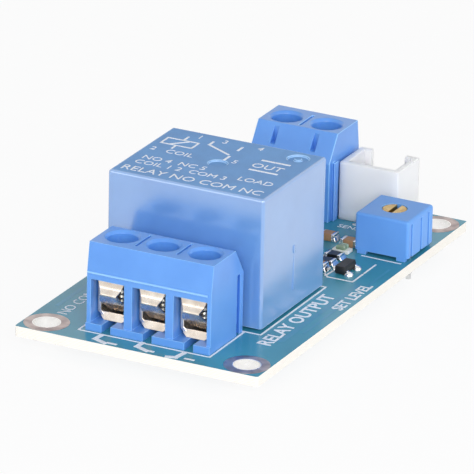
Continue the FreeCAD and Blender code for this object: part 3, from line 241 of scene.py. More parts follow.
@dataclass(frozen=True)
class SolderMask(Surface):
    """Satin solder mask over glass cloth; the sawn edge shows the pale laminate.

    The woven cloth prints through the mask as a faint grid, and the edge shows its layers.
    """

    laminate: str = "F5F3EE"
    fibre: str = "EDE6DA"
    roughness: float = 0.24
    edge_roughness: float = 0.75
    cloud_mm: float = 9.0
    weave_mm: float = 0.5
    weave_depth_mm: float = 0.002
    thick_mm: float = 1.2
    layers: float = 2.2

    def fill(self, mix: Recipe) -> None:
        """Adds the nodes."""
        clouds = mix.add("TexNoise", {"Scale": per(self.cloud_mm), "Detail": 4.0})
        mask = mix.add("ValToRGB", (clouds,), ((0.35, self.shade), (0.65, self.base)))
        layers = mix.add("TexWave", {
            "Scale": per(self.thick_mm) * self.layers, "Distortion": 3.0, "Detail": 3.0,
            "Detail Scale": 2.0}, bands_direction="Z").outputs["Fac"]
        edge = mix.add("ValToRGB", (layers,), ((0.2, self.fibre), (0.55, self.laminate)))
        facing = mix.add("SeparateXYZ", (mix.add("NewGeometry").outputs["Normal"],))
        flat = mix.add("Math", (facing.outputs["Z"],), operation="ABSOLUTE")
        on_face = mix.add("Math", (flat, 0.5), operation="GREATER_THAN")
        colour = mix.add("Mix", {"Factor": on_face, "A": edge, "B": mask}, data_type="RGBA")
        threads = [mix.add("TexWave", {"Scale": per(self.weave_mm) / HALF_BANDS},
                            bands_direction=way).outputs["Fac"] for way in "XY"]
        weave = mix.add("Math", threads, operation="ADD")
        polish = mix.add("MapRange", {
            "Value": on_face, "To Min": self.edge_roughness, "To Max": self.roughness})
        mix.close({"Base Color": colour.outputs["Result"], "Roughness": polish, "IOR": 1.55}, weave,
                  self.weave_depth_mm, 0.5)


@dataclass(frozen=True)
class PrintedInk(Surface):
    """Screen-printed ink: matt, slightly uneven at its edges and thin in places."""

    speckle_mm: float = 0.18
    relief_mm: float = 0.004

    def fill(self, mix: Recipe) -> None:
        """Adds the nodes."""
        speckle = mix.add("TexNoise", {"Scale": per(self.speckle_mm), "Detail": 4.0})
        colour = mix.add("ValToRGB", (speckle,), ((0.3, self.shade), (0.5, self.base)))
        mix.close({"Base Color": colour, "Roughness": 0.6, "IOR": 1.5}, speckle, self.relief_mm)


@dataclass(frozen=True)
class Epoxy(Surface):
    """Moulded epoxy or fired ceramic: dull, with filler grains that catch the light."""

    roughness: float = 0.55
    fleck_mm: float = 0.09
    relief_mm: float = 0.006

    def fill(self, mix: Recipe) -> None:
        """Adds the nodes."""
        cells = mix.add("TexVoronoi", {"Scale": per(self.fleck_mm)})
        colour = mix.add("ValToRGB", (cells,), ((0.05, self.shade), (0.3, self.base)))
        mix.close({"Base Color": colour, "Roughness": self.roughness, "IOR": 1.52}, cells, self.relief_mm)


@dataclass(frozen=True)
class Winding(Surface):
    """Enamelled copper wire wound in level layers: a ring for every turn, with painted shade in the grooves.
    """

    wire_mm: float = 0.16
    relief_mm: float = 0.06

    def fill(self, mix: Recipe) -> None:
        """Adds the nodes."""
        turns = mix.add("TexWave", {
            "Scale": per(self.wire_mm) / HALF_BANDS, "Distortion": 0.4},
            bands_direction="Z").outputs["Fac"]
        # The grooves between turns take the darker colour: painted shade.
        colour = mix.add("ValToRGB", (turns,), ((0.1, self.shade), (0.6, self.base)))
        mix.close({"Base Color": colour, "Metallic": 0.7, "Roughness": 0.3, "Coat Weight": 0.6}, turns,
                  self.relief_mm)


@dataclass(frozen=True)
class ClearResin(Surface):
    """Cast clear resin: it lets light through and is a little hazy where it touched the mould."""

    roughness: float = 0.12
    haze_mm: float = 0.5
    relief_mm: float = 0.005
    clear: float = 0.65

    def fill(self, mix: Recipe) -> None:
        """Adds the nodes."""
        haze = mix.add("TexNoise", {"Scale": per(self.haze_mm)})
        polish = mix.add("MapRange", {
            "Value": haze, "To Min": self.roughness * 0.6, "To Max": self.roughness * 1.6})
        mix.close({"Base Color": linear(self.base), "Roughness": polish, "IOR": 1.5,
                   "Transmission Weight": self.clear}, haze, self.relief_mm)


class Finish(Enum):
    """Every finish on the module, named for what the surface is or for the highlight painted on it."""

    MASK = SolderMask("solder mask on glass cloth laminate", "3F97AE", "388DA3")
    BOARD_INK = PrintedInk("white legend ink", "F4F6FA", "C9D6E2")
    CASE_INK = PrintedInk("white pad-printed ink", "F2F6FD", "BFD0EA")
    RELAY_CASE = Moulding("blue PBT relay case", "6C9DD8", "6494D0", roughness=0.24, ior=2.1, grain_mm=0.16,
                          grain_depth_mm=0.003, glow=0.05, coat=1.0, coat_ior=1.9)
    RELAY_TOP = Moulding("blue PBT, spark-eroded top face", "74A5DC", "6696CE", roughness=0.55, ior=1.4,
                         grain_mm=0.22, grain_depth_mm=0.02, mottle_mm=3.0)
    # Paler finish for rounded edges: a painted highlight.
    RELAY_PAINTED_HIGHLIGHT = Moulding("blue PBT, rounded edge with painted highlight", "A0CBF4", "96C1EC", roughness=0.3, glow=0.1)
    TERMINAL = Moulding("sky blue polyamide terminal", "629DE9", "5A95E2", roughness=0.33, glow=0.12,
                        grain_mm=0.2, grain_depth_mm=0.007, mottle_mm=4.0, coat=0.3)
    # Paler finish for rounded edges and the fold line: a painted highlight.
    TERMINAL_PAINTED_HIGHLIGHT = Moulding("sky blue polyamide, rounded edge with painted highlight", "94CAFF", "8BC2FD", roughness=0.3,
                            glow=0.12)
    SOCKET = Moulding("natural polyamide socket", "FCFBFF", "F7F6FE", roughness=0.4, glow=0.9,
                      scatter=(1.0, 0.95, 1.0))
    TRIMMER = Moulding("blue phenolic trimmer case", "6DA7F0", "649DE8", roughness=0.4, ior=1.42, glow=0.1)
    # Paler finish for rounded edges: a painted highlight.
    TRIMMER_PAINTED_HIGHLIGHT = Moulding("blue phenolic, rounded edge with painted highlight", "84B9F5", "78ADEA", roughness=0.3, glow=0.2)
    BOBBIN = Moulding("natural glass-filled bobbin", "E8E4D6", "D8D2C0", roughness=0.5)
    LAMP_BASE = Moulding("white lamp carrier", "F0F0EC", "E2E2DC", roughness=0.45)
    TRACK = Moulding("solder mask over copper", "4696B4", "3E8DAC", roughness=0.22, grain_mm=0.3)
    NICKEL = Plating("bright nickel on steel sheet", "F2E8DC", "D6C8B9", roughness=0.25, streak_mm=0.8,
                     streak_axis=2, relief_mm=0.0004, metal=0.9)
    SCREW = Plating("zinc-plated screw", "DDDCD6", "B4B2A8", roughness=0.28)
    TINNED = Plating("hot-tinned lead", "DADBDB", "BFC0C0", roughness=0.3, streak_axis=2)
    SOLDER = Plating("bright solder", "E6E7E8", "C6C8CA", roughness=0.16, streak_mm=0.6)
    RING = Plating("dull tinned copper ring", "BFB0AC", "8E8082", roughness=0.34, streak_mm=0.5)
    BARREL = Plating("bright tinned hole wall", "FBFAF8", "F2F0EE", roughness=0.3, streak_mm=0.5)
    BRASS = Plating("turned brass", "D6B87C", "AC8748", roughness=0.3, streak_mm=0.15)
    IRON = Plating("nickel-plated soft iron", "C9C7C0", "A8A59C", roughness=0.35)
    SPRING = Plating("beryllium copper blade", "D9A86A", "B57F45", roughness=0.3)
    EPOXY = Epoxy("black moulded epoxy", "17181B", "34353A")
    RESISTOR = Epoxy("glazed black resistor film", "141518", "2A2B30", roughness=0.3, fleck_mm=0.2)
    CAPACITOR = Epoxy("fired tan ceramic", "A8805C", "C29C78", roughness=0.5)
    ALUMINA = Epoxy("white alumina", "ECEAE4", "F8F7F3", roughness=0.5)
    COPPER = Winding("enamelled copper winding", "B5512A", "5E2413")
    LENS = ClearResin("clear green lens", "CFEFCB")


@functools.cache
def skin(finish: Finish) -> Material:
    """Gives the material of a finish, made once."""
    mix = Recipe(bpy.data.materials.new(finish.value.name))
    finish.value.fill(mix)
    return mix.owner


# Modelling

# Corners of a CAD mesh that lie nearer than this are one, in metres.
MERGE = 0.0005 * MM


def clear_selection() -> None:
    """Leaves nothing selected and object mode on."""
    if bpy.context.object is not None and bpy.context.object.mode != "OBJECT":
        bpy.ops.object.mode_set(mode="OBJECT")
    bpy.ops.object.select_all(action="DESELECT")


def linked(name: str, data: ID) -> Object:
    """Makes an object and puts it in the scene.

    Args:
        name: The object's name.
        data: Its mesh, camera or lamp.

    Returns:
        The new object.
    """
    obj = bpy.data.objects.new(name, data)
    bpy.context.scene.collection.objects.link(obj)
    return obj


def box_mm(node: str) -> tuple[Vector, Vector]:
    """Gives a CAD node's lowest and highest corner in millimetres."""
    low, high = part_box(node)
    return low / MM, high / MM


class Piece:
    """A mesh that is being modelled with operators, in the module's frame."""

    def __init__(self, obj: Object, name: str) -> None:
        """Takes an object in and names it."""
        self.obj = obj
        obj.name = obj.data.name = name

    @classmethod
    def block(cls, name: str, low: Point, high: Point) -> Piece:
        """Adds a box, to be shaped further.

        Args:
            name: The piece's name.
            low: Its lowest corner.
            high: Its highest corner.

        Returns:
            The new workpiece.
        """
        clear_selection()
        centre = [(a + b) / 2 * MM for a, b in zip(low, high)]
        bpy.ops.mesh.primitive_cube_add(size=1.0, location=centre)
        piece = cls(bpy.context.object, name)
        piece.obj.scale = [(b - a) * MM for a, b in zip(low, high)]
        return piece.settle()

    @classmethod
    def from_node(cls, node: str, name: str) -> Piece:
        """Starts from a merged copy of a CAD node's mesh, with its flat faces joined up.

        Args:
            node: The CAD node.
            name: The piece's name.

        Returns:
            The new workpiece.
        """
        clear_selection()
        piece = cls(linked(name, frame["nodes"][node].data.copy()), name)
        piece.obj.data.materials.clear()
        piece.activate()
        bpy.ops.object.mode_set(mode="EDIT")
        bpy.ops.mesh.select_all(action="SELECT")
        bpy.ops.mesh.remove_doubles(threshold=MERGE)
        bpy.ops.mesh.dissolve_limited(angle_limit=math.radians(0.6))
        bpy.ops.mesh.normals_make_consistent(inside=False)
        bpy.ops.object.mode_set(mode="OBJECT")
        return piece

    @classmethod
    def gather(cls, name: str, parts: Sequence[Piece]) -> Piece:
        """Joins workpieces into the first of them.

        Args:
            name: The whole piece's name.
            parts: What it consists of.

        Returns:
            The joined workpiece.
        """
        piece = cls(parts[0].obj, name)
        piece.activate()
        for other in parts[1:]:
            other.obj.select_set(True)
        bpy.ops.object.join()
        return piece

    def activate(self) -> None:
        """Makes this the only selected object."""
        clear_selection()
        self.obj.select_set(True)
        bpy.context.view_layer.objects.active = self.obj

    def settle(self) -> Piece:
        """Moves the object's place, turn and size into its mesh.

        Returns:
            This workpiece.
        """
        self.activate()
        bpy.ops.object.transform_apply(location=True, rotation=True, scale=True)
        return self

    def pick_edges(self, test: Callable[[bmesh.types.BMEdge], bool]) -> None:
        """Enters edit mode and selects edges by place.

        Args:
            test: Says whether an edge is picked. Its places are in metres.
        """
        self.activate()
        bpy.ops.object.mode_set(mode="EDIT")
        bpy.ops.mesh.select_mode(type="EDGE")
        bpy.ops.mesh.select_all(action="DESELECT")
        mesh = bmesh.from_edit_mesh(self.obj.data)
        for edge in mesh.edges:
            if test(edge):
                edge.select_set(True)
        mesh.select_flush_mode()
        bmesh.update_edit_mesh(self.obj.data)

    def modify(self, kind: str, **settings: object) -> Piece:
        """Adds a modifier and applies it.

        Args:
            kind: The modifier's type.
            settings: Its settings.

        Returns:
            This workpiece.
        """
        self.activate()
        modifier = self.obj.modifiers.new(kind.lower(), kind)
        for key, value in settings.items():
            setattr(modifier, key, value)
        bpy.ops.object.modifier_apply(modifier=modifier.name)
        return self

    def round_edges(self, width_mm: float, segments: int = 2, angle: float = 28.0,
                    rim: bool = False) -> Piece:
        """Rounds every edge sharper than an angle and smooths the result.

        Args:
            width_mm: How far the rounding reaches from each edge.
            segments: How many faces it has.
            angle: The smallest angle that counts as an edge, in degrees.
            rim: Whether the rounding takes the second finish, a paler one that paints a highlight.

        Returns:
            This workpiece.
        """
        if rim:
            self.obj.data.materials.clear()
            for _ in range(2):
                self.obj.data.materials.append(None)
        self.modify("BEVEL", width=width_mm * MM, segments=segments, limit_method="ANGLE",
                    angle_limit=math.radians(angle), use_clamp_overlap=True, miter_outer="MITER_SHARP",
                    material=1 if rim else -1)
        return self.smooth()

    def smooth(self, angle: float = 40.0) -> Piece:
        """Shades smooth, with flat faces kept flat.

        Args:
            angle: The smallest angle that stays sharp, in degrees.

        Returns:
            This workpiece.
        """
        self.activate()
        bpy.ops.object.shade_smooth_by_angle(angle=math.radians(angle))
        return self.modify("WEIGHTED_NORMAL", keep_sharp=True)

    def mount(self, node: str, finish: Finish, rim: Finish | None = None) -> Object:
        """Puts the piece in a CAD node's stead.

        Args:
            node: The node that it stands for.
            finish: Its finish.
            rim: The finish of its rounded edges, if they differ: a paler one that paints a highlight.

        Returns:
            The finished object.
        """
        obj = self.attach(NODE_BODY[node], NODE_SLOT[node], finish, rim)
        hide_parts(node)
        return obj

    def attach(self, body: str, slot: str, finish: Finish, rim: Finish | None = None) -> Object:
        """Lets the piece ride on a body.

        Args:
            body: The CAD body.
            slot: The record's material slot; not used.
            finish: Its finish.
            rim: The finish of its rounded edges, if they differ: a paler one that paints a highlight.

        Returns:
            The finished object.
        """
        faces = self.obj.data.polygons
        indices = [0 if rim is None else face.material_index for face in faces]
        self.obj.data.materials.clear()
        self.obj.data.materials.append(skin(finish))
        if rim is not None:
            self.obj.data.materials.append(skin(rim))
        faces.foreach_set("material_index", indices)
        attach(self.obj, body)
        LOG.info("%s: %d faces, %s", self.obj.name, len(faces), finish.name)
        return self.obj


def dress(finishes: dict[str, Finish]) -> None:
    """Gives CAD nodes that stay their finishes.

    Args:
        finishes: Each node's finish.
    """
    for node, finish in finishes.items():
        obj = frame["nodes"][node]
        if not obj.material_slots:
            obj.data.materials.append(None)
        for held in obj.material_slots:
            held.material = skin(finish)


INK_MM = 0.02
INK_STEP = 0.03
INK_LAYER = itertools.cycle(range(31))
LETTER_SIZE = 1.38


def polyline(low: float, width: float, points: Points, thick: float = INK_MM) -> list[Piece]:
    """Lays a line through points, in thin raised bars.

    Each bar is a hair thicker than the last one, so bars that cross never share a face.

    Args:
        low: The surface's height.
        width: The line's width.
        points: X and Y pairs.
        thick: The line's thickness, below zero for a face that looks down.

    Returns:
        A workpiece for each bar.
    """
    bars = []
    for (x0, y0), (x1, y1) in zip(points, points[1:]):
        half = (math.hypot(x1 - x0, y1 - y0) + width) / 2
        rise = thick * (1 + INK_STEP * next(INK_LAYER))
        bar = Piece.block("bar", (-half, -width / 2, min(rise, 0)), (half, width / 2, max(rise, 0)))
        bar.obj.rotation_euler.z = math.atan2(y1 - y0, x1 - x0)
        bar.obj.location = ((x0 + x1) / 2 * MM, (y0 + y1) / 2 * MM, low * MM)
        bars.append(bar.settle())
    return bars


def word(low: float, text: str, size: float, centre: Point, turn: float = 0.0,
         weight: float = 0.0) -> Piece:
    """Prints a plain word as thin raised ink.

    Args:
        low: The surface's height.
        text: The letters.
        size: Their height.
        centre: X and Y of the word's middle.
        turn: Its turn about Z in degrees.
        weight: How much heavier its strokes are.

    Returns:
        The new workpiece.
    """
    clear_selection()
    bpy.ops.object.text_add()
    text_obj = bpy.context.object
    letters = text_obj.data
    letters.body, letters.size, letters.resolution_u = text, size * MM * LETTER_SIZE, 3
    letters.extrude, letters.offset = INK_MM / 2 * MM, weight * MM
    letters.align_x = letters.align_y = "CENTER"
    bpy.ops.object.convert(target="MESH")
    piece = Piece(bpy.context.object, "word")
    piece.obj.rotation_euler.z = math.radians(turn)
    piece.obj.location = (centre[0] * MM, centre[1] * MM, (low + INK_MM / 2) * MM)
    return piece.settle()


def legend(name: str, low: float, words: Sequence[tuple], runs: Sequence[tuple]) -> Piece:
    """Prints lines and words as one piece.

    Args:
        name: The piece's name.
        low: The surface's height.
        words: What word() takes after the height, for each word.
        runs: Each line's width and points.

    Returns:
        The new workpiece.
    """
    bars = [bar for width, points in runs for bar in polyline(low, width, points)]
    return Piece.gather(name, bars + [word(low, *row) for row in words])


def spun(name: str, profile: Points, centre: Point, sides: int = 24) -> Piece:
    """Turns a profile about an upright axis.

    Args:
        name: The piece's name.
        profile: Radius and height pairs, from the axis to the axis.
        centre: X, Y and Z of the axis.
        sides: How many sides a full turn has.

    Returns:
        The new workpiece.
    """
    clear_selection()
    mesh = bpy.data.meshes.new(name)
    mesh.from_pydata([(r * MM, 0.0, z * MM) for r, z in profile],
                     [(i, i + 1) for i in range(len(profile) - 1)], [])
    piece = Piece(linked(name, mesh), name)
    piece.activate()
    bpy.ops.object.mode_set(mode="EDIT")
    bpy.ops.mesh.select_all(action="SELECT")
    bpy.ops.mesh.spin(steps=sides, angle=math.tau, center=(0, 0, 0), axis=(0, 0, 1))
    bpy.ops.mesh.select_all(action="SELECT")
    bpy.ops.mesh.remove_doubles(threshold=0.0002 * MM)
    bpy.ops.mesh.normals_make_consistent(inside=False)
    bpy.ops.object.mode_set(mode="OBJECT")
    piece.obj.location = [c * MM for c in centre]
    return piece.settle()


def islands(node: str) -> list[tuple[Vector, Vector]]:
    """Finds the separate parts of a CAD node.

    Args:
        node: The CAD node.

    Returns:
        The lowest and highest corner of each part, in a fixed order.
    """
    mesh = bmesh.new()
    mesh.from_mesh(frame["nodes"][node].data)
    bmesh.ops.remove_doubles(mesh, verts=mesh.verts, dist=MERGE)
    left = set(mesh.verts)
    found = []
    while left:
        island, queue = [], [left.pop()]
        while queue:
            vertex = queue.pop()
            island.append(vertex.co / MM)
            near = {edge.other_vert(vertex) for edge in vertex.link_edges} & left
            left -= near
            queue += near
        found.append(tuple(Vector([pick(axis) for axis in zip(*island)]) for pick in (min, max)))
    mesh.free()
    return sorted(found, key=lambda box: [round(v, 3) for corner in box for v in corner])


def ribbon(name: str, stations: Points, thick: float) -> Piece:
    """Folds a strip of sheet metal that runs back from the viewer.

    Args:
        name: The piece's name.
        stations: Half width, Y and Z of each bend line.
        thick: The sheet's thickness.

    Returns:
        The new workpiece.
    """
    clear_selection()
    bpy.ops.mesh.primitive_plane_add(size=1.0)
    piece = Piece(bpy.context.object, name)
    for vertex in piece.obj.data.vertices:
        half, y, z = stations[0] if vertex.co.y < 0 else stations[1]
        vertex.co = (math.copysign(half, vertex.co.x) * MM, y * MM, z * MM)
    _, end_y, end_z = stations[1]
    piece.pick_edges(lambda edge: all(
        abs(v.co.y - end_y * MM) + abs(v.co.z - end_z * MM) < MERGE / 5 for v in edge.verts))
    for (half0, y0, z0), (half1, y1, z1) in zip(stations[1:], stations[2:]):
        bpy.ops.mesh.extrude_region_move(
            TRANSFORM_OT_translate={"value": (0, (y1 - y0) * MM, (z1 - z0) * MM)})
        bpy.ops.transform.resize(value=(half1 / half0, 1, 1), center_override=(0, 0, 0), orient_type="GLOBAL")
    piece.modify("SOLIDIFY", thickness=thick * MM, offset=0.0, use_even_offset=True)
    return piece.round_edges(thick * 0.3, 1, 35)


# The module's sub-assemblies


@dataclass
class Board:
    """The circuit board with its legend, hole rings, solder and covered tracks."""

    hole_radius: float = 1.52
    ring_proud: float = 0.03
    track_proud: float = 0.008
    via_area: Point = (9.0, 4.0)
    words: Sequence[tuple] = (
        ("RELAY OUTPUT", 1.7, (11.35, -9.9), 90.0, 0.045), ("SET LEVEL", 1.35, (13.75, -0.9), 90.0, 0.035),
        ("NO COM NC", 1.3, (-12.0, -15.8), 90.0), ("IN", 1.3, (-10.7, 17.6)), ("SENSOR", 0.9, (4.9, 18.1)),
        ("-", 1.2, (-8.1, 19.3)), ("+", 1.2, (0.9, 19.3)))
    lines: Runs = (
        (0.22, ((-8.25, -24.24), (7.84, -24.24), (7.84, -15.93), (-8.25, -15.93), (-8.25, -24.24))),
        (0.22, ((-10.04, -15.78), (9.8, -15.78), (9.8, 0.42), (-10.04, 0.42), (-10.04, -15.78))),
        (0.55, ((-5.31, -24.46), (-5.44, -25.69), (-3.97, -26.3))),
        (0.55, ((-0.41, -24.28), (-0.44, -25.41), (1.02, -26.0))),
        (0.55, ((4.87, -24.59), (4.65, -26.1), (3.77, -26.35))),
        (0.34, ((-3.65, -26.05), (-2.75, -26.05))), (0.34, ((0.85, -25.9), (1.75, -25.9))),
        (0.34, ((5.75, -25.86), (6.65, -25.86))), (0.22, ((11.7, 9.2), (11.7, 6.3))),
        (0.22, ((11.7, 5.9), (11.7, 3.3), (8.6, 3.3), (7.9, 4.0))), (0.22, ((8.2, 3.6), (8.4, 5.7))),
        (0.22, ((9.16, 11.05), (13.96, 10.9))))
    top_tracks: Runs = (
        (0.5, ((-13.6, -19.0), (-13.6, 5.2), (-12.9, 6.2))),
        (0.3, ((-12.7, -14.5), (-12.7, 1.6), (-11.6, 2.9))),
        (0.3, ((-11.6, 5.2), (-11.6, 7.2))), (0.3, ((-11.0, 9.4), (-9.4, 9.4), (-8.8, 8.8))),
        (0.3, ((-11.0, 12.4), (-9.2, 12.4), (-8.4, 11.6))),
        (0.3, ((-2.4, 7.5), (-0.9, 7.5), (0.6, 6.0), (1.7, 6.0))), (0.3, ((-2.4, 10.0), (1.6, 10.0))),
        (0.5, ((-1.2, 19.8), (-1.2, 16.0), (1.6, 13.2), (1.6, 12.6))),
        (0.3, ((4.2, 19.4), (4.2, 17.2), (5.6, 15.8), (5.6, 14.2))),
        (0.3, ((6.7, 19.4), (6.7, 16.6), (7.6, 15.7))),
        (0.6, ((12.6, 3.0), (12.6, -16.0), (11.2, -17.4))), (0.3, ((13.7, 8.6), (13.7, -13.0))),
        (0.3, ((-12.6, 14.4), (-12.6, 18.6), (-11.0, 20.2), (-9.4, 20.2))))
    under_tracks: Runs = (
        (2.2, ((-5.08, -19.76), (-7.2, -13.0), (-7.22, -7.3))),
        (2.0, ((0.0, -19.76), (3.4, -16.0), (6.98, -13.3))),
        (2.0, ((5.08, -19.76), (10.2, -14.0), (10.2, -3.6), (6.98, -1.3))),
        (0.8, ((-5.22, -1.3), (-9.8, 3.2), (-9.8, 20.0), (-6.29, 22.05))),
        (0.5, ((-5.22, -13.3), (-1.6, -9.8), (-1.6, 12.0), (-1.21, 22.05))),
        (0.5, ((4.2, 22.85), (4.2, 16.0), (8.71, 13.53))),
        (0.5, ((6.7, 22.85), (11.25, 18.4), (11.25, 16.07))),
        (0.5, ((13.79, 13.53), (13.79, 4.0), (9.5, 0.4))))

    def tracks(self) -> None:
        """Raises the mask a little where copper runs under it, on both sides."""
        sides = ((BOARD_TOP, self.track_proud, self.top_tracks), (0.0, -self.track_proud, self.under_tracks))
        bars = [bar for face, thick, runs in sides for width, points in runs
                for bar in polyline(face, width, points, thick)]
        Piece.gather("covered_tracks", bars).attach("module", "board", Finish.TRACK)

    def rings(self) -> None:
        """Turns the flat rings of the mounting holes and their bright walls."""
        rings, walls = [], []
        bore, top, proud = self.hole_radius, BOARD_TOP, self.ring_proud
        for low, high in islands("mounting_hole_plating"):
            centre = ((low.x + high.x) / 2, (low.y + high.y) / 2, 0.0)
            outer = (high.x - low.x) / 2
            for z0, z1 in ((top, top + proud), (-proud, 0.0)):
                section = [(bore + 0.06, z0), (bore + 0.06, z1), (bore + 0.12, z1), (outer - 0.05, z1),
                           (outer, (z0 + z1) / 2), (outer, z0), (bore + 0.06, z0)]
                rings.append(spun("ring", section, centre, 64))
            section = [(bore, -0.02), (bore + 0.02, -0.035), (bore + 0.08, -0.035),
                       (bore + 0.08, top + 0.035), (bore + 0.02, top + 0.035), (bore, top + 0.02),
                       (bore, -0.02)]
            walls.append(spun("wall", section, centre, 64))
        for name, made, finish in (("hole_rings", rings, Finish.RING), ("hole_walls", walls, Finish.BARREL)):
            Piece.gather(name, made).smooth().mount("mounting_hole_plating", finish)

    def vias(self) -> None:
        """Puts a small tinned eye at each end of the covered tracks that lie in the open."""
        section = [(0.13, 0.0), (0.13, 0.035), (0.2, 0.05), (0.33, 0.035), (0.36, 0.0), (0.13, 0.0)]
        ends = {end for _, points in self.top_tracks for end in (points[0], points[-1])}
        eyes = [spun("eye", section, (x, y, BOARD_TOP)) for x, y in sorted(ends)
                if x < self.via_area[0] and y > self.via_area[1]]
        Piece.gather("via_eyes", eyes).smooth().attach("module", "solder", Finish.SOLDER)

    def joints(self) -> None:
        """Gives each joint under the board the hollow flank of real solder."""
        flank = ((0.32, -0.92), (0.4, -0.84), (0.46, -0.66), (0.58, -0.4), (0.8, -0.17), (1.0, -0.03),
                 (1.0, 0.0))
        made = []
        for low, high in islands("solder_joints"):
            reach = (high.x - low.x) / 2
            profile = [(0.0, -0.92), *((share * reach, z) for share, z in flank), (0.0, 0.0)]
            made.append(spun("joint", profile, ((low.x + high.x) / 2, (low.y + high.y) / 2, 0.0)))
        Piece.gather("solder_fillets", made).smooth(50).mount("solder_joints", Finish.SOLDER)

    def build(self) -> None:
        """Makes every piece of the board."""
        dress({"circuit_board": Finish.MASK})
        self.tracks()
        printed = legend("board_legend", BOARD_TOP, self.words, self.lines)
        printed.attach("module", "board", Finish.BOARD_INK)
        self.rings()
        self.vias()
        self.joints()


@dataclass
class Relay:
    """The closed relay: moulded cover with its print, and the mechanism inside.

    The words and lines of the print are placed from the middle of the top.
    """

    top: float = 16.66
    centre: Point = (-0.12, -7.3)
    edge_round: float = 0.12
    words: Sequence[tuple] = (
        ("RELAY NO COM NC", 1.38, (-0.1, -6.1)), ("COIL 1 2  COM 3", 1.1, (-2.6, -3.9)),
        ("NO 4  NC 5", 1.1, (-4.2, -2.3)), ("1", 1.0, (-5.3, 6.2)), ("2", 1.0, (-8.3, 0.6)),
        ("3", 1.0, (-2.2, 6.2)), ("4", 1.0, (2.2, 6.2)), ("5", 1.0, (1.5, 1.2)), ("COIL", 1.1, (-5.0, 0.5)),
        ("LOAD", 1.15, (6.2, -3.1)), ("OUT", 1.3, (5.4, 1.4)))
    lines: Runs = (
        (0.24, ((-8.4, 2.6), (-4.6, 2.6), (-4.6, 4.4), (-8.4, 4.4), (-8.4, 2.6))),
        (0.24, ((-7.4, 2.6), (-5.6, 4.4))),
        (0.24, ((-6.5, 1.6), (-6.5, 2.6))), (0.24, ((-6.5, 4.4), (-6.5, 5.6))),
        (0.28, ((-3.4, 5.6), (-3.4, 4.6), (-0.2, 2.9))), (0.28, ((0.2, 5.6), (0.2, 4.6))),
        (0.28, ((0.2, 1.2), (0.2, 2.4))), (0.34, ((4.0, 3.2), (7.2, 3.2))), (0.34, ((4.0, 0.0), (7.2, 0.0))))

    def cover(self) -> None:
        """Rounds the moulded cover's edges, paler as a painted highlight, and gives its top face a duller
        finish.
        """
        # The rounded edges take the paler finish: a painted highlight.
        case = Piece.from_node("relay_cover", "relay_case").round_edges(self.edge_round, 2, 35, rim=True)
        obj = case.mount("relay_cover", Finish.RELAY_CASE, Finish.RELAY_PAINTED_HIGHLIGHT)
        obj.data.materials.append(skin(Finish.RELAY_TOP))
        for face in obj.data.polygons:
            if face.normal.z > 0.99 and face.center.z > (self.top - 0.3) * MM:
                face.material_index = 2

    def seam(self) -> None:
        """Adds the mould's drafted seam and gate stub on the end wall."""
        x, y = box_mm("relay_cover")[1].x, self.centre[1]
        line = Piece.block("seam", (x - 0.05, y - 0.22, 3.6), (x + 0.05, y + 0.22, 7.6))
        for vertex in line.obj.data.vertices:
            if vertex.co.z > 5 * MM:
                vertex.co.y = (y + math.copysign(0.03, vertex.co.y / MM - y)) * MM
            elif vertex.co.x > x * MM:
                vertex.co.x += 0.1 * MM
        stub = Piece.block("stub", (x - 0.05, y - 0.2, 7.9), (x + 0.12, y + 0.2, 8.8)).round_edges(0.1, 3)
        seam = Piece.gather("relay_seam", [line.round_edges(0.02, 1), stub])
        seam.attach("module", "relay_case", Finish.RELAY_CASE)

    def build(self) -> None:
        """Makes every piece of the relay."""
        self.cover()
        self.seam()
        printed = legend("relay_print", self.top, self.words, self.lines)
        printed.obj.location = (self.centre[0] * MM, self.centre[1] * MM, 0.0)
        printed.settle().attach("module", "relay_case", Finish.CASE_INK)
        dress({"relay_base": Finish.RELAY_CASE, "relay_bobbin": Finish.BOBBIN, "relay_coil": Finish.COPPER,
               "relay_core": Finish.IRON, "relay_yoke": Finish.IRON, "relay_armature": Finish.IRON,
               "relay_moving_contact": Finish.SPRING, "relay_open_contact": Finish.SPRING,
               "relay_closed_contact": Finish.SPRING, "relay_pins": Finish.TINNED})


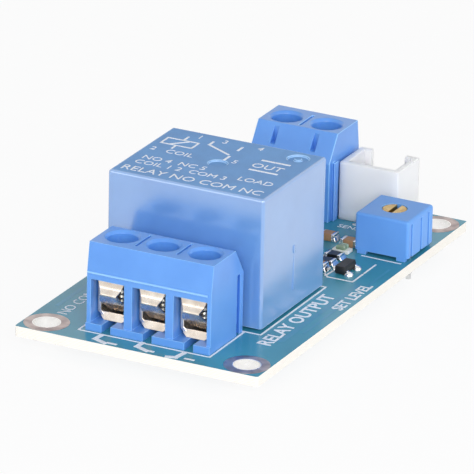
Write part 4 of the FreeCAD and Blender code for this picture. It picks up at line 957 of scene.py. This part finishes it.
@dataclass
class TerminalRow:
    """A row of screw terminals: housing, clamps, wire guards and threaded screws."""

    name: str
    positions: int
    pitch: float = 5.08
    housing_round: float = 0.18
    bore_reach: float = 2.2
    bore_low: float = 8.9
    rear: float = 1.9
    sheet_round: float = 0.05
    foot_proud: float = 0.25
    fold_height: float = 6.76
    bead_radius: float = 0.13
    lip_top: float = 1.82
    lip_lean: float = 0.24
    guard_thick: float = 0.2
    guard_bends: Points = (
        (1.66, 0.91, 6.35), (1.6, 0.9, 5.9), (1.46, 0.87, 5.4), (1.33, 0.8, 5.02), (1.24, 0.68, 4.84),
        (1.15, 0.54, 4.67), (1.06, 0.4, 4.52), (0.98, 0.27, 4.4), (0.96, 0.24, 4.34), (0.98, 0.27, 4.26),
        (1.08, 0.4, 4.1), (1.24, 0.6, 3.85), (1.38, 0.9, 3.4), (1.42, 1.4, 2.95),
        (1.1, 1.88, 2.5), (0.96, 2.06, 2.12), (0.86, 2.24, 2.05), (0.84, 2.5, 2.12), (0.84, 4.85, 2.13))
    shank: float = 1.45
    head_tall: float = 1.1
    slot_wide: float = 0.5
    slot_deep: float = 0.55
    thread_pitch: float = 0.5
    thread_depth: float = 0.22

    def place(self, x: float, z: float) -> tuple[float, float, float]:
        """Gives a place in the front wall's plane.

        Args:
            x: Its X.
            z: Its height over the board.

        Returns:
            The place in metres.
        """
        low, high = box_mm(f"{self.name}_terminal_housing")
        front = high.y - self.foot_proud if self.name == "input" else low.y + self.foot_proud
        return (x * MM, front * MM, (BOARD_TOP + z) * MM)

    def fit(self, piece: Piece, number: int) -> Piece:
        """Moves a piece from the pattern position, front at Y zero, into one position.

        Args:
            piece: The piece, centred on X zero and standing on Z zero.
            number: The position's number.

        Returns:
            The same workpiece.
        """
        low, high = box_mm(f"{self.name}_screw_{number}")
        if self.name == "input":
            piece.obj.rotation_euler.z = math.pi
        piece.obj.location = self.place((low.x + high.x) / 2, 0.0)
        return piece.settle()

    def housing(self) -> None:
        """Rounds the moulded housing's edges, with a pale, painted highlight on those that the light catches.
        """
        node = f"{self.name}_terminal_housing"
        piece = Piece.from_node(node, f"{self.name}_housing").round_edges(self.housing_round, 2, rim=True)
        boxes = [box_mm(f"{self.name}_screw_{number + 1}") for number in range(self.positions)]
        axes = [(low + high) / 2 for low, high in boxes]
        middle = sum(axis.x for axis in axes) / self.positions
        reach = (self.positions / 2 - 0.06) * self.pitch
        back = -1 if self.name == "input" else 1
        # Faces near the bores and at the back lose the painted highlight and keep the base finish.
        for face in piece.obj.data.polygons:
            x, y, z = face.center / MM
            near_bore = z > self.bore_low and any(
                math.hypot(x - a.x, y - a.y) < self.bore_reach for a in axes)
            behind = (y - axes[0].y) * back > self.rear
            if near_bore or (behind and abs(x - middle) < reach):
                face.material_index = 0
        piece.mount(node, Finish.TERMINAL, Finish.TERMINAL_PAINTED_HIGHLIGHT)

    def bead(self) -> None:
        """Lays the fine raised line where the front wall folds back, in the pale painted-highlight finish."""
        low, high = box_mm(f"{self.name}_terminal_housing")
        clear_selection()
        bpy.ops.mesh.primitive_cylinder_add(
            vertices=12, radius=self.bead_radius * MM, depth=(high.x - low.x - 0.9) * MM,
            location=self.place((low.x + high.x) / 2, self.fold_height), rotation=(0, math.pi / 2, 0))
        line = Piece(bpy.context.object, f"{self.name}_fold_line").settle().round_edges(0.03, 2, 60)
        line.smooth(60).attach("module", "terminal", Finish.TERMINAL_PAINTED_HIGHLIGHT)

    def clamp(self, number: int) -> None:
        """Makes one clamp: its bent cage with a curled lip, and the folded wire guard.

        Args:
            number: The position's number.
        """
        node = f"{self.name}_cage_{number}"
        cage = Piece.from_node(node, "cage").round_edges(self.sheet_round, 1)
        lip = Piece.block("lip", (-1.55, 1.34, 0.91), (1.55, 1.52, self.lip_top))
        knee = 1.2 * MM
        for vertex in lip.obj.data.vertices:
            if vertex.co.z > knee:
                vertex.co.y += self.lip_lean * MM
        lip.pick_edges(lambda edge: abs(edge.verts[0].co.y - edge.verts[1].co.y) > 0.01 * MM
                       and all(v.co.z < knee for v in edge.verts))
        bpy.ops.mesh.bevel(offset=0.42 * MM, segments=1)
        lip.round_edges(0.05, 2, 30)
        Piece.gather(f"{node}_sheet", [cage, self.fit(lip, number)]).mount(node, Finish.NICKEL)
        node = f"{self.name}_wire_guard_{number}"
        guard = ribbon(f"{node}_sheet", self.guard_bends, self.guard_thick)
        self.fit(guard, number).mount(node, Finish.NICKEL)

    def screw(self, number: int) -> None:
        """Models one screw: cut thread, chamfered point and slotted head.

        Args:
            number: The position's number.
        """
        node = f"{self.name}_screw_{number}"
        low, high = box_mm(node)
        x, y = (low.x + high.x) / 2, (low.y + high.y) / 2
        head, neck, root = (high.x - low.x) / 2, high.z - self.head_tall, self.shank - self.thread_depth
        profile = [(0.0, low.z), (root * 0.72, low.z), (root, low.z + 0.3)]
        z = low.z + 0.35
        while z + self.thread_pitch < neck - 0.3:
            crest = ((self.shank, z + self.thread_pitch * share) for share in (0.45, 0.55))
            profile += [*crest, (root, z + self.thread_pitch)]
            z += self.thread_pitch
        profile += [(root, neck - 0.12), (root + 0.1, neck), (head - 0.12, neck), (head, neck + 0.1),
                    (head, high.z - 0.22), (head - 0.07, high.z - 0.07), (head - 0.22, high.z), (0.0, high.z)]
        piece = spun(f"{node}_turned", profile, (x, y, 0.0), 32)
        half = self.slot_wide / 2
        slot = Piece.block("slot", (x - half, y - 2.0, high.z - self.slot_deep),
                           (x + half, y + 2.0, high.z + 1.0))
        piece.modify("BOOLEAN", operation="DIFFERENCE", object=slot.obj, solver="EXACT")
        bpy.data.objects.remove(slot.obj, do_unlink=True)
        piece.smooth(30).mount(node, Finish.SCREW)

    def build(self) -> None:
        """Makes every piece of the row."""
        self.housing()
        self.bead()
        for number in range(1, self.positions + 1):
            self.clamp(number)
            self.screw(number)


@dataclass
class Socket:
    """The shrouded two-pin socket."""

    wall_round: float = 0.12
    pin_round: float = 0.14

    def build(self) -> None:
        """Makes the shroud and its pins."""
        shroud = Piece.from_node("sensor_socket", "socket_shroud").round_edges(self.wall_round, 2)
        shroud.mount("sensor_socket", Finish.SOCKET)
        posts = Piece.from_node("sensor_socket_pins", "socket_posts").round_edges(self.pin_round, 1)
        posts.mount("sensor_socket_pins", Finish.TINNED)


@dataclass
class Trimmer:
    """The square trimmer: case, slotted rotor and what is inside."""

    case_round: float = 0.1
    rotor_round: float = 0.08

    def build(self) -> None:
        """Makes the trimmer's pieces."""
        # The case's rounded edges take the paler finish: a painted highlight.
        case = Piece.from_node("trimmer_body", "trimmer_case").round_edges(self.case_round, 2, 35, rim=True)
        case.mount("trimmer_body", Finish.TRIMMER, Finish.TRIMMER_PAINTED_HIGHLIGHT)
        rotor = Piece.from_node("trimmer_rotor", "trimmer_dial_rotor").round_edges(self.rotor_round, 2)
        rotor.mount("trimmer_rotor", Finish.BRASS)
        dress({"trimmer_wiper": Finish.SPRING, "trimmer_element": Finish.ALUMINA,
               "trimmer_pins": Finish.TINNED})


@dataclass
class SmallParts:
    """The chips, the transistor, the diode and the lamps on the board's top face.

    Solder reaches out from the end of a cap or lead, and a bent lead's starts at its heel.
    Its foot is wider than the cap or lead, and its top is narrower.
    """

    cap_reach: float = 0.3
    cap_share: float = 0.72
    bent_heel: float = 0.42
    bent_reach: float = 0.32
    bent_height: float = 0.28
    foot_spread: float = 0.1
    top_spread: float = -0.02
    round_share: float = 0.35
    round_limit: float = 0.3
    blob_inset: float = 0.25
    blob: Points = (
        (0.0, 0.0), (0.56, 0.0), (0.55, 0.1), (0.48, 0.26), (0.34, 0.38), (0.17, 0.45), (0.0, 0.47))
    soldered: Sequence[tuple[str, str]] = (
        ("resistor_end_caps", "chip_resistors"), ("capacitor_end_caps", "chip_capacitors"),
        ("transistor_leads", "transistor_body"), ("comparator_leads", "comparator_body"),
        ("diode_leads", "diode_body"))
    rounds: Sequence[tuple[str, float, Finish]] = (
        ("comparator_body", 0.06, Finish.EPOXY), ("comparator_leads", 0.03, Finish.TINNED),
        ("transistor_body", 0.06, Finish.EPOXY), ("transistor_leads", 0.03, Finish.SOLDER),
        ("diode_body", 0.08, Finish.EPOXY), ("diode_leads", 0.03, Finish.TINNED),
        ("chip_resistors", 0.03, Finish.RESISTOR), ("resistor_end_caps", 0.07, Finish.SOLDER),
        ("chip_capacitors", 0.03, Finish.CAPACITOR), ("capacitor_end_caps", 0.07, Finish.SOLDER),
        ("indicator_bases", 0.04, Finish.LAMP_BASE), ("indicator_lenses", 0.12, Finish.LENS))

    def fillet(self, node: str, low: Vector, high: Vector, out: Vector) -> Piece:
        """Makes the solder against the outer end of one cap or lead.

        It is a block with a smaller top and hollowed, rounded flanks, or a dome on a
        transistor's lead. A bent lead is soldered at its foot only.

        Args:
            node: The CAD node.
            low: The cap's or lead's lowest corner.
            high: Its highest corner.
            out: The way from the part's middle to it.

        Returns:
            The fillet.
        """
        size = high - low
        bent = node in ("comparator_leads", "diode_leads")
        axis = 0 if abs(out.x) * (size.y if bent else 1) > abs(out.y) * (size.x if bent else 1) else 1
        sign = 1 if out[axis] > 0 else -1
        end = high[axis] if sign > 0 else low[axis]
        if node == "transistor_leads":
            centre = (low + high) / 2
            centre[axis], centre.z = end - sign * self.blob_inset, BOARD_TOP
            return spun("blob", self.blob, centre).smooth(60)
        heel, reach, height = self.bent_heel, self.bent_reach, self.bent_height
        if not bent:
            heel, reach, height = size[axis], self.cap_reach, (high.z - BOARD_TOP) * self.cap_share
        inner = end - sign * heel
        spans = []
        for tip, spread in ((end + sign * reach, self.foot_spread), (end, self.top_spread)):
            first, last = low.xy - Vector((spread, spread)), high.xy + Vector((spread, spread))
            first[axis], last[axis] = sorted((inner, tip))
            spans.append((first, last))
        foot, top = spans
        piece = Piece.block("fillet", (*foot[0], BOARD_TOP), (*foot[1], BOARD_TOP + height))
        middle = Vector((*(foot[0] + foot[1]) / 2, BOARD_TOP + height / 2)) * MM
        for vertex in piece.obj.data.vertices:
            if vertex.co.z > middle.z:
                ends = [top[vertex.co[way] > middle[way]][way] * MM for way in (0, 1)]
                vertex.co = (*ends, vertex.co.z)
        return piece.round_edges(min(height, self.round_limit) * self.round_share, 3, 20)

    def build(self) -> None:
        """Solders each part down, softens its edges and gives it its finish."""
        made = []
        for node, core in self.soldered:
            middles = [(low + high) / 2 for low, high in islands(core)]
            for low, high in islands(node):
                ways = [(low + high) / 2 - middle for middle in middles]
                made.append(self.fillet(node, low, high, min(ways, key=lambda way: way.length)))
        Piece.gather("top_solder", made).attach("module", "solder", Finish.SOLDER)
        for node, width, finish in self.rounds:
            Piece.from_node(node, f"{node}_soft").round_edges(width, 2).mount(node, finish)


@dataclass
class Studio:
    """White table, soft daylight and the photograph's camera."""

    image: float = 474.0
    focal_px: float = 6827.64
    centre_px: Point = (232.67, 236.35)
    sensor_mm: float = 36.0
    place_mm: Point = (314.306, -636.618, 283.694)
    forward: Point = (-0.41399, 0.83397, -0.36485)
    right: Point = (0.89198, 0.45162, 0.02018)
    floor_z: float = -1.52
    floor_size: float = 6.0
    floor_glow: float = 0.9
    horizon: float = 0.9
    zenith: float = 0.26
    lamps: Sequence[tuple[str, Point, float, float]] = (
        ("softbox", (-0.3, -0.6, 0.3), 0.3, 0.5), ("fill", (0.34, -0.58, 0.33), 0.4, 3.1),
        ("window", (0.66, -0.06, 0.2), 0.45, 1.2))

    def camera(self) -> None:
        """Sets the camera as it stood for the photograph."""
        data = bpy.data.cameras.new("photo_camera")
        data.sensor_width = self.sensor_mm
        data.lens = self.focal_px * self.sensor_mm / self.image
        data.shift_x = (self.image / 2 - self.centre_px[0]) / self.image
        data.shift_y = (self.centre_px[1] - self.image / 2) / self.image
        data.clip_start, data.clip_end = 0.01, 10.0
        ahead = Vector(self.forward).normalized()
        across = Vector(self.right)
        across = (across - ahead * across.dot(ahead)).normalized()
        turn = Matrix((across, across.cross(ahead), -ahead)).transposed().to_4x4()
        obj = linked("photo_camera", data)
        obj.matrix_world = Matrix.Translation(Vector(self.place_mm) * MM) @ turn
        bpy.context.scene.camera = obj

    def floor(self) -> None:
        """Lays the white table: it takes a soft shadow, and from below it lets the view through."""
        clear_selection()
        bpy.ops.mesh.primitive_plane_add(size=self.floor_size, location=(0, 0, self.floor_z * MM))
        obj = bpy.context.object
        obj.name = "table"
        mix = Recipe(bpy.data.materials.new("white table"))
        speckle = mix.add("TexNoise", {"Scale": per(2.5)})
        tone = mix.add("ValToRGB", (speckle,), ((0.2, "F6F7F9"), (0.8, "FAFBFC")))
        diffuse = mix.add("BsdfDiffuse", (tone,))
        glow = mix.add("Emission", {"Color": WHITE, "Strength": 1.0})
        share = mix.add("Math", (mix.backdrop_rays(), self.floor_glow), operation="MULTIPLY")
        seen = mix.add("MixShader", (share, diffuse, glow))
        below = mix.add("NewGeometry").outputs["Backfacing"]
        clear = mix.add("BsdfTransparent")
        mix.add("OutputMaterial", (mix.add("MixShader", (below, seen, clear)),))
        obj.data.materials.append(mix.owner)

    def world(self) -> None:
        """Lights the table evenly and shows white wherever the backdrop is seen."""
        bpy.context.scene.world = bpy.data.worlds.new("daylight")
        sky = Recipe(bpy.context.scene.world)
        way = sky.add("SeparateXYZ", (sky.places["Generated"],)).outputs["Z"]
        level = sky.add("MapRange", {"Value": way, "From Min": 0.05, "From Max": 0.9,
                                     "To Min": self.horizon, "To Max": self.zenith})
        strength = sky.add("MapRange", {"Value": sky.backdrop_rays(), "To Min": level, "To Max": 1.0})
        sky.add("OutputWorld", (sky.add("Background", {"Color": WHITE, "Strength": strength}),))

    def lamp(self, name: str, place: Point, size: float, power: float) -> None:
        """Hangs a soft area lamp that points at the module.

        Args:
            name: The lamp's name.
            place: Where it hangs, in metres.
            size: The side of its square, in metres.
            power: Its power in watts.
        """
        data = bpy.data.lights.new(name, "AREA")
        data.size, data.energy = size, power
        obj = linked(name, data)
        obj.location = place
        obj.rotation_euler = (-Vector(place)).to_track_quat("-Z", "Y").to_euler()

    def build(self) -> None:
        """Sets up camera, table, world and lamps."""
        self.camera()
        self.floor()
        self.world()
        for lamp in self.lamps:
            self.lamp(*lamp)
        bpy.context.scene.view_settings.view_transform = "Standard"


def main() -> None:
    """Builds the studio and every sub-assembly in order."""
    logging.basicConfig(level=logging.INFO, format="%(message)s")
    Studio().build()
    for part in (Board(), Relay(), TerminalRow("output", 3), TerminalRow("input", 2), Socket(), Trimmer(),
                 SmallParts()):
        part.build()
        LOG.info("%s done", type(part).__name__)


if __name__ == "__main__":
    main()
